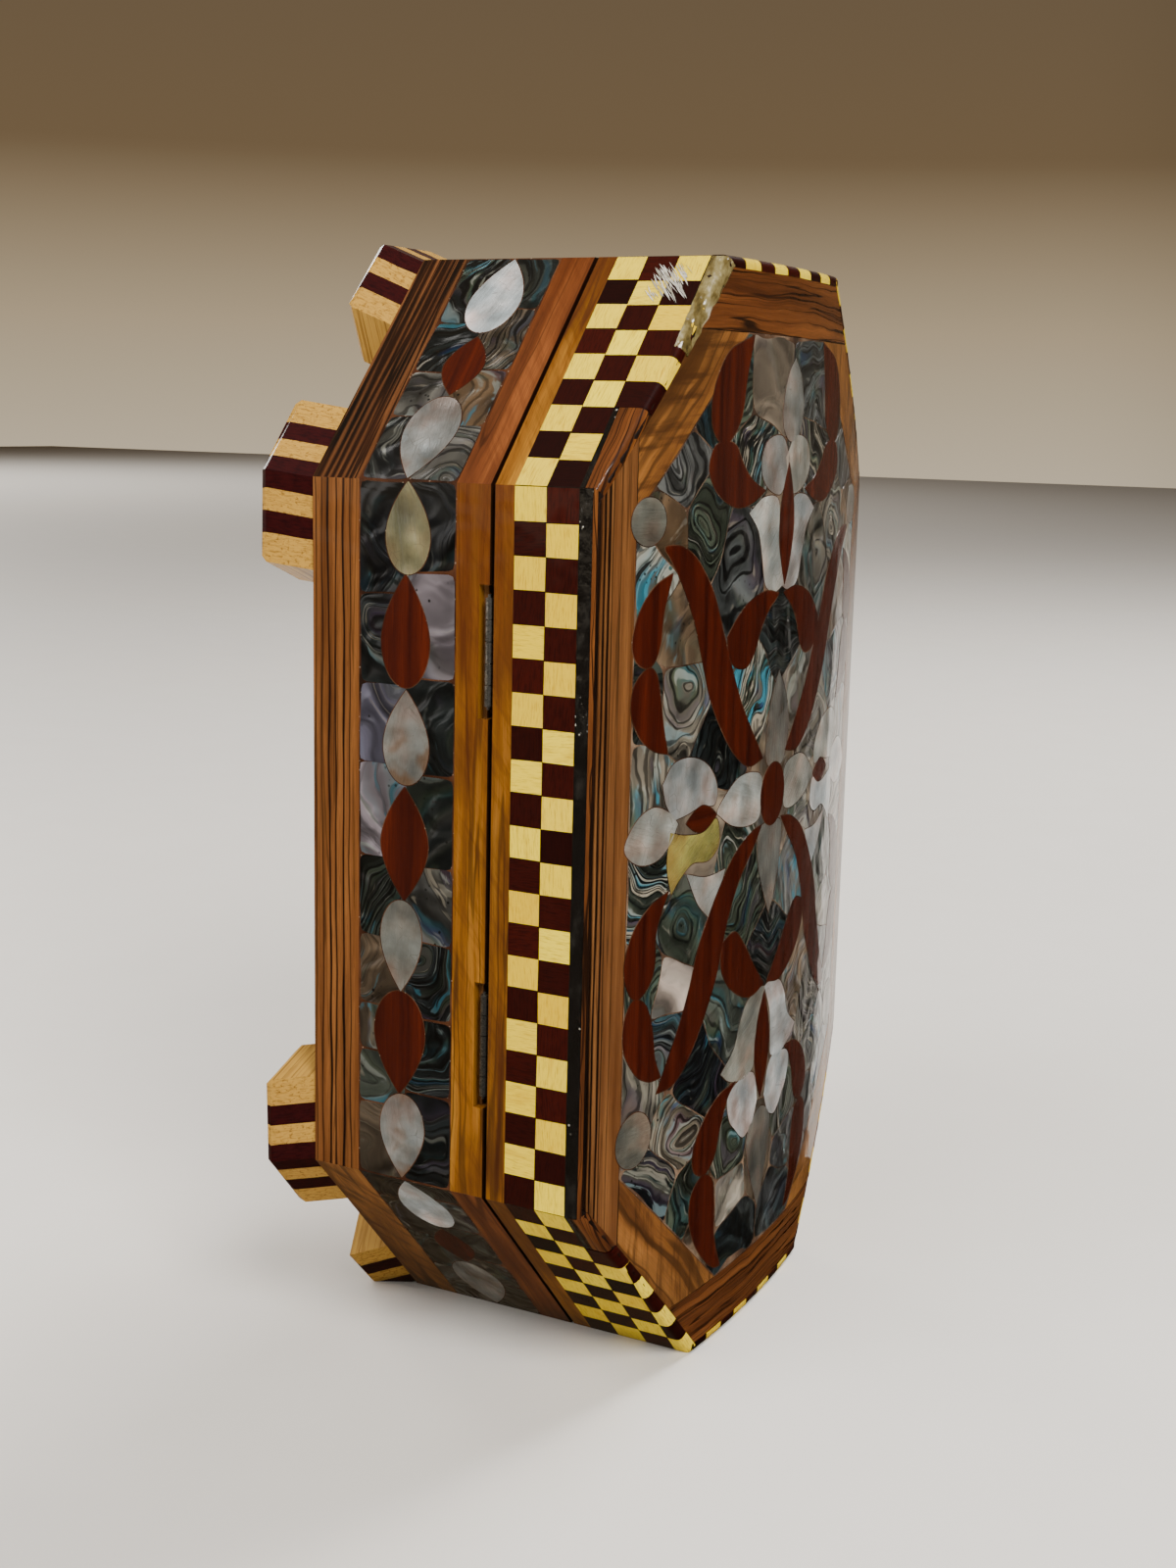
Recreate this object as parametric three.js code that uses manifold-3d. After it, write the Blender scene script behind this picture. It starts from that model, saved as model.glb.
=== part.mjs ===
// A marquetry jewellery box with a hinged, vaulted lid, standing on one short end.
// Millimetres. +Z runs along the box's length, X from the feet to the lid, Y across its width.
import * as THREE from "three";
import { mergeVertices } from "three/addons/utils/BufferGeometryUtils.js";
import Module from "manifold-3d";

// Outline of the box, a rectangle with its four corners cut off.
const boxLength = 250;
const boxWidth = 154;
const cornerAlongLength = 48;
const cornerAcrossWidth = 44;

// Heights above the underside of the base, towards the lid.
const borderTop = 11.8;
const shellTop = 35.8;
const rimTop = 43.9;
const seamGap = 0.9;
const lidStripTop = 49.4;
const vaultPeak = 77.4;
const vaultAtLongSide = 68.3;

// Thicknesses.
const skin = 2;
const wall = 7;
const floorThickness = 5;
const vaultSkin = 3;
const vaultPanel = 5;
const lidEdgeBevel = 1.3;

// Frame of strips round the mosaic of the lid.
const longStripWidth = 12.3;
const endStripWidth = 15.5;
const mosaicCornerFromEnd = 53.5;
const mosaicCornerFromMiddle = 23;

// Feet, one block under each corner of the outline, leaning outward.
const footHeight = 11;
const footLean = 0.45;
const footArm = 19.8;
const footDepth = 13;
const footInset = 0.6;
const footBevel = 1.2;

// Two butt hinges in the seam of the back.
const hingeFromMiddle = 42.5;
const hingeLength = 22.8;
const knuckleCount = 5;
const knuckleGap = 0.2;
const barrelRadius = 0.85;
const boreRadius = 0.45;
const pinRadius = 0.36;
const pinOverhang = 0.6;
const pinBehindFace = 0.75;
const pinBelowRim = 0.45;
const leafThickness = 0.8;
const leafReach = 6.2;
const leafClearance = 0.2;
const tabClearance = 0.1;
const tabOverlap = 0.4;
const recessLength = 28;
const recessInRim = 2.5;
const cutterHeight = 10;

const centreHeight = (vaultPeak - footHeight) / 2;
const lidBottom = rimTop + seamGap;
const halfWidth = boxWidth / 2;
const halfEnd = halfWidth - cornerAcrossWidth;
const vaultRise = vaultPeak - vaultAtLongSide;
const vaultRadius = (halfWidth ** 2 + vaultRise ** 2) / (2 * vaultRise);

const wasm = await Module();
wasm.setup();

const finish = (color, roughness, metalness = 0) => ({ color, roughness, metalness });
const finishes = {
  carcass: finish(0x7a4f2c, 0.6),
  striped: finish(0x8a5a30, 0.25),
  olive: finish(0xa5693a, 0.25),
  rim: finish(0xa0602e, 0.3),
  shell: finish(0x8d9088, 0.15),
  checker: finish(0x93601f, 0.25),
  foot: finish(0xb08a55, 0.3),
  steel: finish(0x4b4d4c, 0.4, 0.9),
};

const facetNames = [
  "back",
  "back_upper",
  "upper",
  "front_upper",
  "front",
  "front_lower",
  "lower",
  "back_lower",
];

// Corners of the outline as [y, z], in the order of the facets that start at them.
const outline = [
  [-halfWidth, cornerAlongLength],
  [-halfWidth, boxLength - cornerAlongLength],
  [-halfEnd, boxLength],
  [halfEnd, boxLength],
  [halfWidth, boxLength - cornerAlongLength],
  [halfWidth, cornerAlongLength],
  [halfEnd, 0],
  [-halfEnd, 0],
];

const at = (ring, i) => ring[(i + ring.length) % ring.length];
const unit = ([a, b]) => [a / Math.hypot(a, b), b / Math.hypot(a, b)];
const along = (p, direction, d) => [p[0] + direction[0] * d, p[1] + direction[1] * d];

// Direction of the facet that starts at corner i, and the way into the box from it.
function facetDirection(i) {
  const a = at(outline, i);
  const b = at(outline, i + 1);
  return unit([b[0] - a[0], b[1] - a[1]]);
}

function inward(i) {
  const [y, z] = facetDirection(i);
  return [z, -y];
}

// The outline moved in by d, parallel to every facet.
function inset(d) {
  return outline.map((corner, i) => {
    const before = inward(i - 1);
    const after = inward(i);
    const share = d / (1 + before[0] * after[0] + before[1] * after[1]);
    return [corner[0] + (before[0] + after[0]) * share, corner[1] + (before[1] + after[1]) * share];
  });
}

function shapeOf(points) {
  return new THREE.Shape(points.map(([a, b]) => new THREE.Vector2(a, b)));
}

// A straight prism on a plan of [y, z] points, between two heights above the underside.
function prism(points, low, high, hole) {
  const shape = shapeOf(points);
  if (hole) shape.holes.push(shapeOf([...hole].reverse()));
  const geometry = new THREE.ExtrudeGeometry(shape, { depth: high - low, bevelEnabled: false });
  const axes = new THREE.Matrix4().makeBasis(
    new THREE.Vector3(0, 1, 0),
    new THREE.Vector3(0, 0, 1),
    new THREE.Vector3(1, 0, 0),
  );
  geometry.applyMatrix4(axes);
  return geometry.translate(low - centreHeight, 0, 0);
}

function vaultHeight(y) {
  return vaultPeak - vaultRadius + Math.sqrt(vaultRadius ** 2 - y ** 2);
}

// Everything below the vault once it is lowered by depth, as one long block.
function belowVault(depth) {
  const past = 3;
  const steps = 20;
  const wellBelow = -2 * boxLength;
  const points = [[wellBelow, halfWidth + past], [wellBelow, -halfWidth - past]];
  for (let i = 0; i <= steps; i += 1) {
    const y = (halfWidth + past) * ((2 * i) / steps - 1);
    points.push([vaultHeight(y) - depth, y]);
  }
  const block = new THREE.ExtrudeGeometry(shapeOf(points), {
    depth: boxLength + 2 * past,
    bevelEnabled: false,
  });
  return block.translate(-centreHeight, 0, -past);
}

function solid(geometry) {
  const bare = geometry.clone();
  bare.deleteAttribute("normal");
  bare.deleteAttribute("uv");
  const merged = mergeVertices(bare, 1e-4);
  return new wasm.Manifold(
    new wasm.Mesh({
      numProp: 3,
      vertProperties: merged.attributes.position.array,
      triVerts: new Uint32Array(merged.index.array),
    }),
  );
}

function geometryOf(made) {
  const mesh = made.getMesh();
  const geometry = new THREE.BufferGeometry();
  geometry.setAttribute("position", new THREE.BufferAttribute(mesh.vertProperties, mesh.numProp));
  geometry.setIndex(new THREE.BufferAttribute(mesh.triVerts, 1));
  geometry.computeVertexNormals();
  return geometry;
}

const group = new THREE.Group();

function addPiece(name, shape, look) {
  const geometry = shape.isBufferGeometry ? shape : geometryOf(shape);
  const mesh = new THREE.Mesh(geometry, new THREE.MeshStandardMaterial(look));
  mesh.name = name;
  group.add(mesh);
}

const faceOutline = inset(0);
const wallOutside = inset(skin);
const wallInside = inset(skin + wall);

// The strip of skin on facet i.
function facetStrip(i) {
  return [at(faceOutline, i), at(faceOutline, i + 1), at(wallOutside, i + 1), at(wallOutside, i)];
}

function block(x, y, z, centreX, centreY, centreZ) {
  return new THREE.BoxGeometry(x, y, z).translate(centreX, centreY, centreZ);
}

// Hinges. Each is worked out round its own pin, then moved to its place.
const pinX = rimTop - pinBelowRim - centreHeight;
const pinY = -halfWidth + pinBehindFace;
const hinges = [
  { name: "upper", z: boxLength / 2 + hingeFromMiddle },
  { name: "lower", z: boxLength / 2 - hingeFromMiddle },
];
const knuckleLength = hingeLength / knuckleCount;
const leafInside = barrelRadius + leafClearance;

function knuckleMiddle(index) {
  return (index + 0.5) * knuckleLength - hingeLength / 2;
}

function knuckle(index) {
  const length = knuckleLength - knuckleGap;
  const ring = new THREE.Shape().absarc(0, 0, barrelRadius, 0, 2 * Math.PI);
  ring.holes.push(new THREE.Path().absarc(0, 0, boreRadius, 0, 2 * Math.PI));
  const tube = new THREE.ExtrudeGeometry(ring, {
    depth: length,
    bevelEnabled: false,
    curveSegments: 12,
  });
  return tube.translate(0, 0, knuckleMiddle(index) - length / 2);
}

// One leaf: a plate, and a tab to each of its own knuckles.
function hingeLeaf(first, plateX) {
  const plateY = leafInside + leafReach / 2;
  let made = solid(block(leafThickness, leafReach, hingeLength, plateX, plateY, 0));
  const length = knuckleLength - knuckleGap;
  const tabReach = leafInside - boreRadius - tabClearance + tabOverlap;
  const tabY = leafInside + tabOverlap - tabReach / 2;
  const tabHeight = leafThickness / 2 + Math.abs(plateX) - boreRadius / 2;
  const tabX = Math.sign(plateX) * (boreRadius / 2 + tabHeight / 2);
  for (let i = first; i < knuckleCount; i += 2) {
    made = made.add(solid(knuckle(i)));
    made = made.add(solid(block(tabHeight, tabReach, length, tabX, tabY, knuckleMiddle(i))));
  }
  return made;
}

const lidPlateX = pinBelowRim + seamGap - leafThickness / 2;
const basePlateX = -leafClearance - leafThickness / 2;
const recessFloor = basePlateX - leafThickness / 2;

function addHinge({ name, z }) {
  const place = (made) => geometryOf(made).translate(pinX, pinY, z);
  addPiece(`hinge_${name}_base_leaf`, place(hingeLeaf(0, basePlateX)), finishes.steel);
  addPiece(`hinge_${name}_lid_leaf`, place(hingeLeaf(1, lidPlateX)), finishes.steel);
  const pin = new THREE.CylinderGeometry(pinRadius, pinRadius, hingeLength + 2 * pinOverhang, 16);
  addPiece(`hinge_${name}_pin`, pin.rotateX(Math.PI / 2).translate(pinX, pinY, z), finishes.steel);
}

// A cutter for each hinge's recess, from its floor up past the rim.
function cutRecesses(made, floor, reach) {
  return hinges.reduce((rest, { z }) => {
    const centreY = -halfWidth + reach / 2;
    const cutter = block(cutterHeight, reach, recessLength, floor + cutterHeight / 2, centreY, z);
    return rest.subtract(solid(cutter));
  }, made);
}

// Base: the wall ring and the floor, then the three strips that face each side.
function baseWalls() {
  const reach = pinBehindFace + leafInside + leafReach + leafClearance;
  return cutRecesses(solid(prism(wallOutside, 0, rimTop, wallInside)), pinX + recessFloor, reach);
}

function rimStrip(i) {
  const strip = prism(facetStrip(i), shellTop, rimTop);
  if (facetNames[i] !== "back") return strip;
  return cutRecesses(solid(strip), rimTop - centreHeight - recessInRim, 2 * skin);
}

function addBase() {
  addPiece("base_walls", baseWalls(), finishes.carcass);
  addPiece("base_floor", prism(wallInside, 0, floorThickness), finishes.carcass);
  facetNames.forEach((name, i) => {
    const strip = facetStrip(i);
    addPiece(`base_border_${name}`, prism(strip, 0, borderTop), finishes.striped);
    addPiece(`base_shell_${name}`, prism(strip, borderTop, shellTop), finishes.shell);
    addPiece(`base_rim_${name}`, rimStrip(i), finishes.rim);
  });
}

// Lid: the wall ring under the vaulted panel, then the strips, checkers and the mosaic on them.
const underSkin = solid(belowVault(vaultSkin));
const underPanel = solid(belowVault(vaultSkin + vaultPanel));

// The vault's block leaned up from facet i, so that it takes the sharp edge off along that facet.
function belowBevel(i) {
  const [inY, inZ] = inward(i);
  const [y, z] = at(outline, i);
  const lean = new THREE.Matrix4().set(1, inY, inZ, 0, 0, 1, 0, 0, 0, 0, 1, 0, 0, 0, 0, 1);
  return belowVault(lidEdgeBevel + inY * y + inZ * z).applyMatrix4(lean);
}

const underFinish = facetNames.reduce(
  (made, name, i) => made.intersect(solid(belowBevel(i))),
  solid(belowVault(0)),
);

function onVault(points) {
  const upright = solid(prism(points, lidStripTop, vaultPeak + 1));
  return upright.intersect(underFinish).subtract(underSkin);
}

const innerLong = halfWidth - longStripWidth;
const mosaicOutline = [
  [-innerLong, mosaicCornerFromEnd],
  [-innerLong, boxLength - mosaicCornerFromEnd],
  [-mosaicCornerFromMiddle, boxLength - endStripWidth],
  [mosaicCornerFromMiddle, boxLength - endStripWidth],
  [innerLong, boxLength - mosaicCornerFromEnd],
  [innerLong, mosaicCornerFromEnd],
  [mosaicCornerFromMiddle, endStripWidth],
  [-mosaicCornerFromMiddle, endStripWidth],
];

// Long and end strips run right across to the corner cuts; the corner strips fit between them.
function lidStripPlan(i) {
  const a = at(outline, i);
  const b = at(outline, i + 1);
  const before = facetDirection(i - 1);
  const after = facetDirection(i + 1);
  const crossing = (width, corner, direction) => {
    const into = inward(i);
    const rate = Math.abs(into[0] * direction[0] + into[1] * direction[1]);
    return along(corner, direction, width / rate);
  };
  const straight = i % 2 === 0;
  if (straight) {
    const width = i % 4 === 0 ? longStripWidth : endStripWidth;
    const back = [-before[0], -before[1]];
    return [a, b, crossing(width, b, after), crossing(width, a, back)];
  }
  const previous = lidStripPlan(i - 1);
  const next = lidStripPlan(i + 1);
  return [previous[2], next[3], at(mosaicOutline, i + 1), at(mosaicOutline, i)];
}

function addLid() {
  const walls = solid(prism(wallOutside, lidBottom, vaultPeak, wallInside)).intersect(underPanel);
  addPiece("lid_walls", walls, finishes.carcass);
  const panel = solid(prism(wallOutside, lidStripTop, vaultPeak)).intersect(underSkin);
  addPiece("lid_vault", panel.subtract(underPanel), finishes.carcass);
  addPiece("lid_mosaic", onVault(mosaicOutline), finishes.shell);
  addPiece("lid_lower_strip", prism(faceOutline, lidBottom, lidStripTop, wallOutside), finishes.rim);
  facetNames.forEach((name, i) => {
    const band = solid(prism(facetStrip(i), lidStripTop, vaultPeak)).intersect(underSkin);
    addPiece(`lid_checker_${name}`, band, finishes.checker);
    const look = i % 4 === 0 ? finishes.striped : finishes.olive;
    addPiece(`lid_border_${name}`, onVault(lidStripPlan(i)), look);
  });
}

// A foot: a laminated block that follows both facets at its corner and leans outward.
// The two at the end that the box stands on are trimmed flush with it.
function addFoot(i) {
  const corner = at(inset(footInset), i);
  const back = facetDirection(i - 1).map((v) => -v);
  const ahead = facetDirection(i);
  const intoBox = unit([back[0] + ahead[0], back[1] + ahead[1]]);
  const backEnd = along(corner, back, footArm);
  const aheadEnd = along(corner, ahead, footArm);
  const backInside = along(backEnd, intoBox, footDepth);
  const aheadInside = along(aheadEnd, intoBox, footDepth);
  const plan = [backEnd, corner, aheadEnd, aheadInside, backInside];
  const leaned = (ring, height) => ring.map((p) => along(p, intoBox, -footLean * height));
  const levels = [
    { points: plan, height: 0 },
    { points: leaned(plan, footHeight - footBevel), height: footBevel - footHeight },
    { points: leaned(shrunk(plan, footBevel), footHeight), height: -footHeight },
  ];
  const foot = solid(footGeometry(levels));
  const lowest = Math.min(...levels[2].points.map(([, z]) => z));
  addPiece(`foot_${i + 1}`, lowest < 0 ? foot.intersect(aboveEnd) : foot, finishes.foot);
}

// A plan with every corner moved towards its centre.
function shrunk(plan, by) {
  const centre = [0, 1].map((axis) => plan.reduce((sum, p) => sum + p[axis], 0) / plan.length);
  return plan.map(([y, z]) => along([y, z], unit([y - centre[0], z - centre[1]]), -by));
}

// A closed block through plans of equal count, from the base down to its toe.
function footGeometry(levels) {
  const n = levels[0].points.length;
  const position = levels.flatMap(({ points, height }) =>
    points.flatMap(([y, z]) => [height - centreHeight, y, z]),
  );
  const index = [];
  const last = levels.length - 1;
  for (let level = 0; level < last; level += 1) {
    for (let i = 0; i < n; i += 1) {
      const a = level * n + i;
      const b = level * n + ((i + 1) % n);
      index.push(a, b, a + n, b, b + n, a + n);
    }
  }
  for (let i = 1; i < n - 1; i += 1) {
    index.push(0, i + 1, i);
    index.push(last * n, last * n + i, last * n + i + 1);
  }
  const geometry = new THREE.BufferGeometry();
  geometry.setAttribute("position", new THREE.Float32BufferAttribute(position, 3));
  geometry.setIndex(index);
  geometry.computeVertexNormals();
  return geometry;
}

const aboveEnd = solid(block(boxLength, 2 * boxWidth, 2 * boxLength, 0, 0, boxLength));

addBase();
addLid();
hinges.forEach(addHinge);
for (let i = 0; i < facetNames.length; i += 1) addFoot(i);

export default group;
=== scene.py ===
import math
import random

import bmesh
import bpy
from mathutils import Matrix, Vector, noise
from mathutils.geometry import delaunay_2d_cdt


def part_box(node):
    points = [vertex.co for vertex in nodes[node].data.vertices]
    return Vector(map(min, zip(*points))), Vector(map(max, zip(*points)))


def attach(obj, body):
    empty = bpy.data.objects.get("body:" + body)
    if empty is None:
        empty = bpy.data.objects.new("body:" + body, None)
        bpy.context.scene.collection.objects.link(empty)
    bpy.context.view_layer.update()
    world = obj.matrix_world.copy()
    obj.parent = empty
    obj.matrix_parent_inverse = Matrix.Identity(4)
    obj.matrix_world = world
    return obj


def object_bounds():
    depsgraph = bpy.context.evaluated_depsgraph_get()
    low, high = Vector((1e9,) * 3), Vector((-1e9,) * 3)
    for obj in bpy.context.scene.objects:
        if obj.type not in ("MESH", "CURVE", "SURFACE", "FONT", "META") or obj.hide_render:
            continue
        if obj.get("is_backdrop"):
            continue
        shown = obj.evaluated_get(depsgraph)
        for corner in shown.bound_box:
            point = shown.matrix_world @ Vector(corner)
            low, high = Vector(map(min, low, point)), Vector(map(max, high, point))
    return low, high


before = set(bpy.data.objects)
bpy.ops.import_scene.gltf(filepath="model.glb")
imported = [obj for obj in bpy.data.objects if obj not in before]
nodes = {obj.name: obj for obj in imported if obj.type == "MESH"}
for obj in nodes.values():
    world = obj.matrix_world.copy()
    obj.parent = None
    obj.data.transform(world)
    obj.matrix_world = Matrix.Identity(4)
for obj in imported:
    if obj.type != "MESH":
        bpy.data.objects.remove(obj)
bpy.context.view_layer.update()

mm = 0.001
noise.seed_set(12)

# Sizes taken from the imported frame, in millimetres.
borderLow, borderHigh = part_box("base_border_back")
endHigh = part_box("base_border_upper")[1]
shellLow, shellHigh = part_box("base_shell_back")
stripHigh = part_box("lid_lower_strip")[1]
mosaicLow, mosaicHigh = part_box("lid_mosaic")

size = {
    "underside": borderLow.x / mm,
    "halfWidth": -borderLow.y / mm,
    "halfEnd": endHigh.y / mm,
    "cornerLow": borderLow.z / mm,
    "cornerHigh": borderHigh.z / mm,
    "length": endHigh.z / mm,
    "bandLow": (shellLow.x - borderLow.x) / mm,
    "bandHigh": (shellHigh.x - borderLow.x) / mm,
    "rowsFrom": (stripHigh.x - borderLow.x) / mm,
    "peak": (mosaicHigh.x - borderLow.x) / mm,
    "mosaicHalf": mosaicHigh.y / mm,
    "mosaicEnd": mosaicLow.z / mm,
    # the source's own values, which no node's box gives
    "vaultRadius": 330.3,
    "mosaicCornerFromEnd": 53.5,
    "mosaicCornerFromMiddle": 23.0,
    "edgeRound": 1.5,
}

facetNames = ["back", "back_upper", "upper", "front_upper", "front", "front_lower", "lower", "back_lower"]
longSides, shortSides = ("back", "front"), ("upper", "lower")
outline = [
    (-size["halfWidth"], size["cornerLow"]),
    (-size["halfWidth"], size["cornerHigh"]),
    (-size["halfEnd"], size["length"]),
    (size["halfEnd"], size["length"]),
    (size["halfWidth"], size["cornerHigh"]),
    (size["halfWidth"], size["cornerLow"]),
    (size["halfEnd"], 0.0),
    (-size["halfEnd"], 0.0),
]


def facetAt(index):
    a, b = Vector(outline[index]), Vector(outline[(index + 1) % 8])
    run = (b - a).length
    along = (b - a) / run
    out = Vector((-along.y, along.x))
    return {"name": facetNames[index], "start": a, "along": along, "out": out, "run": run}


facets = [facetAt(i) for i in range(8)]


def vaultHeight(y):
    r = size["vaultRadius"]
    return size["peak"] - r + math.sqrt(r * r - y * y)


def onFacet(facet):
    def place(t, h, lift):
        p = facet["start"] + facet["along"] * t + facet["out"] * lift
        return (h + size["underside"], p.x, p.y)
    return place


def onVault(y, z, lift):
    return (vaultHeight(y) + lift + size["underside"], y, z)


# Up the facet, round the lid's edge and a little way in over the vault.
def overEdge(facet):
    r = size["edgeRound"]

    def place(t, s, lift):
        edge = facet["start"] + facet["along"] * t
        straight = vaultHeight(edge.x) - r
        turn = (s - straight) / r
        if turn <= 0:
            p, h = edge + facet["out"] * lift, s
        elif turn < math.pi / 2:
            p = edge + facet["out"] * ((r + lift) * math.cos(turn) - r)
            h = straight + (r + lift) * math.sin(turn)
        else:
            into = r + (s - straight) - r * math.pi / 2
            p = edge - facet["out"] * into
            h = vaultHeight(p.x) + lift
        return (h + size["underside"], p.x, p.y)
    return place


def edgeEnd(facet, t, wide):
    r = size["edgeRound"]
    y = (facet["start"] + facet["along"] * t).x
    return vaultHeight(y) - r + r * math.pi / 2 + wide - r


def inside(shape, x, y):
    hit = False
    for (x0, y0), (x1, y1) in zip(shape, shape[1:] + shape[:1]):
        if (y0 > y) != (y1 > y) and x < (x1 - x0) * (y - y0) / (y1 - y0) + x0:
            hit = not hit
    return hit


def evenly(shape, step):
    made = []
    for a, b in zip(shape, shape[1:] + shape[:1]):
        count = max(1, round(math.dist(a, b) / step))
        made += [(a[0] + (b[0] - a[0]) * i / count, a[1] + (b[1] - a[1]) * i / count) for i in range(count)]
    return made


# A closed curve through the points; a third value marks a sharp tip.
def curved(points, perSpan=6):
    n, made = len(points), []
    for i in range(n):
        p0, p1, p2, p3 = (Vector(points[(i + k) % n][:2]) for k in (-1, 0, 1, 2))
        if len(points[i]) > 2:
            p0 = p1 * 2 - p2
        if len(points[(i + 1) % n]) > 2:
            p3 = p2 * 2 - p1
        square, cube = 2 * p0 - 5 * p1 + 4 * p2 - p3, 3 * p1 - p0 - 3 * p2 + p3
        for k in range(perSpan):
            s = k / perSpan
            p = 0.5 * (2 * p1 + (p2 - p0) * s + square * s * s + cube * s ** 3)
            made.append((p.x, p.y))
    return made


blunter, tipCurve = 0.09, 1.75  # how far the widest place moves to a blunt end, and the sides' curve to a tip


# A drop or a lens between two ends; blunt ends are round, the others come to a point.
def drop(u0, u1, v0, v1, blunt0, blunt1, samples=22):
    widest = 0.5 + blunter * (blunt1 - blunt0)
    middle, half, side = (v0 + v1) / 2, (v1 - v0) / 2, []
    for i in range(samples + 1):
        s = (1 - math.cos(math.pi * i / samples)) / 2
        x, blunt = ((widest - s) / widest, blunt0) if s < widest else ((s - widest) / (1 - widest), blunt1)
        w = math.sqrt(max(0, 1 - x * x)) if blunt else 1 - x ** tipCurve
        side.append((u0 + (u1 - u0) * s, w * half))
    return [(u, middle + w) for u, w in side] + [(u, middle - w) for u, w in side[-2:0:-1]]


def ellipse(u, v, ru, rv, samples=36):
    turns = [2 * math.pi * i / samples for i in range(samples)]
    return [(u + ru * math.cos(a), v + rv * math.sin(a)) for a in turns]


def mirrored(shape):
    return [(-p[0], *p[1:]) for p in reversed(shape)]


def grown(shape, by):
    n, made = len(shape), []
    area = sum(a[0] * b[1] - b[0] * a[1] for a, b in zip(shape, shape[1:] + shape[:1]))
    for i in range(n):
        a, b = Vector(shape[i - 1]), Vector(shape[(i + 1) % n])
        d = (b - a).normalized() * (1 if area > 0 else -1)
        made.append((shape[i][0] + d.y * by, shape[i][1] - d.x * by))
    return made


def cut(shape, point, normal):
    made = []
    for a, b in zip(shape, shape[1:] + shape[:1]):
        da = (a[0] - point[0]) * normal[0] + (a[1] - point[1]) * normal[1]
        db = (b[0] - point[0]) * normal[0] + (b[1] - point[1]) * normal[1]
        if da <= 0:
            made.append(a)
        if (da < 0 < db) or (db < 0 < da):
            k = da / (da - db)
            made.append((a[0] + (b[0] - a[0]) * k, a[1] + (b[1] - a[1]) * k))
    return made


# The share of a region that lies nearest to each centre, with half a joint taken off.
def shares(region, centres, joint):
    made = []
    for i, c in enumerate(centres):
        shape = list(region)
        for j, other in enumerate(centres):
            if i != j and shape:
                d = Vector((other[0] - c[0], other[1] - c[1]))
                middle = Vector(c[:2]) + d / 2 - d.normalized() * joint / 2
                shape = cut(shape, middle, d)
        made.append(shape)
    return made


waveScale, waveLayer = 0.09, 3.7  # of the noise that bends the joints


# Wavy sides and softened corners, the same wave for neighbours so that the joint keeps its width.
def handCut(shape, wave, soften=2, step=1.4):
    made = evenly(shape, step)
    for _ in range(soften):
        made = [
            ((a[0] + 2 * b[0] + c[0]) / 4, (a[1] + 2 * b[1] + c[1]) / 4)
            for a, b, c in zip(made[-1:] + made[:-1], made, made[1:] + made[:1])
        ]
    bent = []
    for u, v in made:
        n = noise.noise_vector(Vector((u * waveScale, v * waveScale, waveLayer)))
        bent.append((u + n.x * wave, v + n.y * wave))
    return bent


def middleOf(shape):
    return (sum(p[0] for p in shape) / len(shape), sum(p[1] for p in shape) / len(shape))


# The shape with its ends held inside the facet.
def heldOn(facet, shape, edge):
    return [(min(max(u, edge), facet["run"] - edge), v) for u, v in shape]


# Pieces that share a material are gathered in one tray, which becomes one mesh.
def newTray():
    return {"points": [], "faces": [], "grain": [], "look": []}


# Points inside a shape, which let its plate follow a curved surface.
def innerPoints(shape, grid):
    made, us, vs = [], [p[0] for p in shape], [p[1] for p in shape]
    for i in range(1, int((max(us) - min(us)) / grid) + 1):
        for k in range(1, int((max(vs) - min(vs)) / grid) + 1):
            u, v = min(us) + i * grid - grid * 0.37, min(vs) + k * grid - grid * 0.41
            if inside(shape, u, v) and min(math.dist((u, v), p) for p in shape) > grid * 0.4:
                made.append((u, v))
    return made


plain = (0, 0, 0, 0)  # finish values of joints and wood, and of resin that is neither clear nor hazy


# A thin closed plate on a surface. The grain is the piece's own pattern frame, look its four finish values.
def addPlate(
    tray, shape, place, look, centre=(0, 0), turn=0.0, seed=0.0, lift=0.02, depth=0.5, grid=0.0, rough=0.0
):
    flat = [Vector(p) for p in list(shape) + (innerPoints(shape, grid) if grid else [])]
    points, _, triangles = delaunay_2d_cdt(flat, [], [list(range(len(shape)))], 1, 1e-5)[:3]
    used = sorted({i for t in triangles for i in t})
    if len(used) < 3:
        return
    order = {old: i for i, old in enumerate(used)}
    first, count = len(tray["points"]), len(used)
    cosT, sinT = math.cos(turn), math.sin(turn)
    for layer in (0, 1):
        for old in used:
            u, v = points[old]
            lump = rough * noise.noise(Vector((u * 0.5, v * 0.5, seed))) if rough else 0
            tray["points"].append([c * mm for c in place(u, v, lift + lump - layer * depth)])
            du, dv = u - centre[0], v - centre[1]
            tray["grain"].append((du * cosT + dv * sinT, dv * cosT - du * sinT, seed))
            tray["look"].append(look)
    edges = {}
    for t in triangles:
        a, b, c = (first + order[i] for i in t)
        tray["faces"] += [(a, b, c), (a + count, c + count, b + count)]
        for e in ((a, b), (b, c), (c, a)):
            edges[e] = True
    for a, b in edges:
        if (b, a) not in edges:
            tray["faces"].append((b, a, a + count, b + count))


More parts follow.
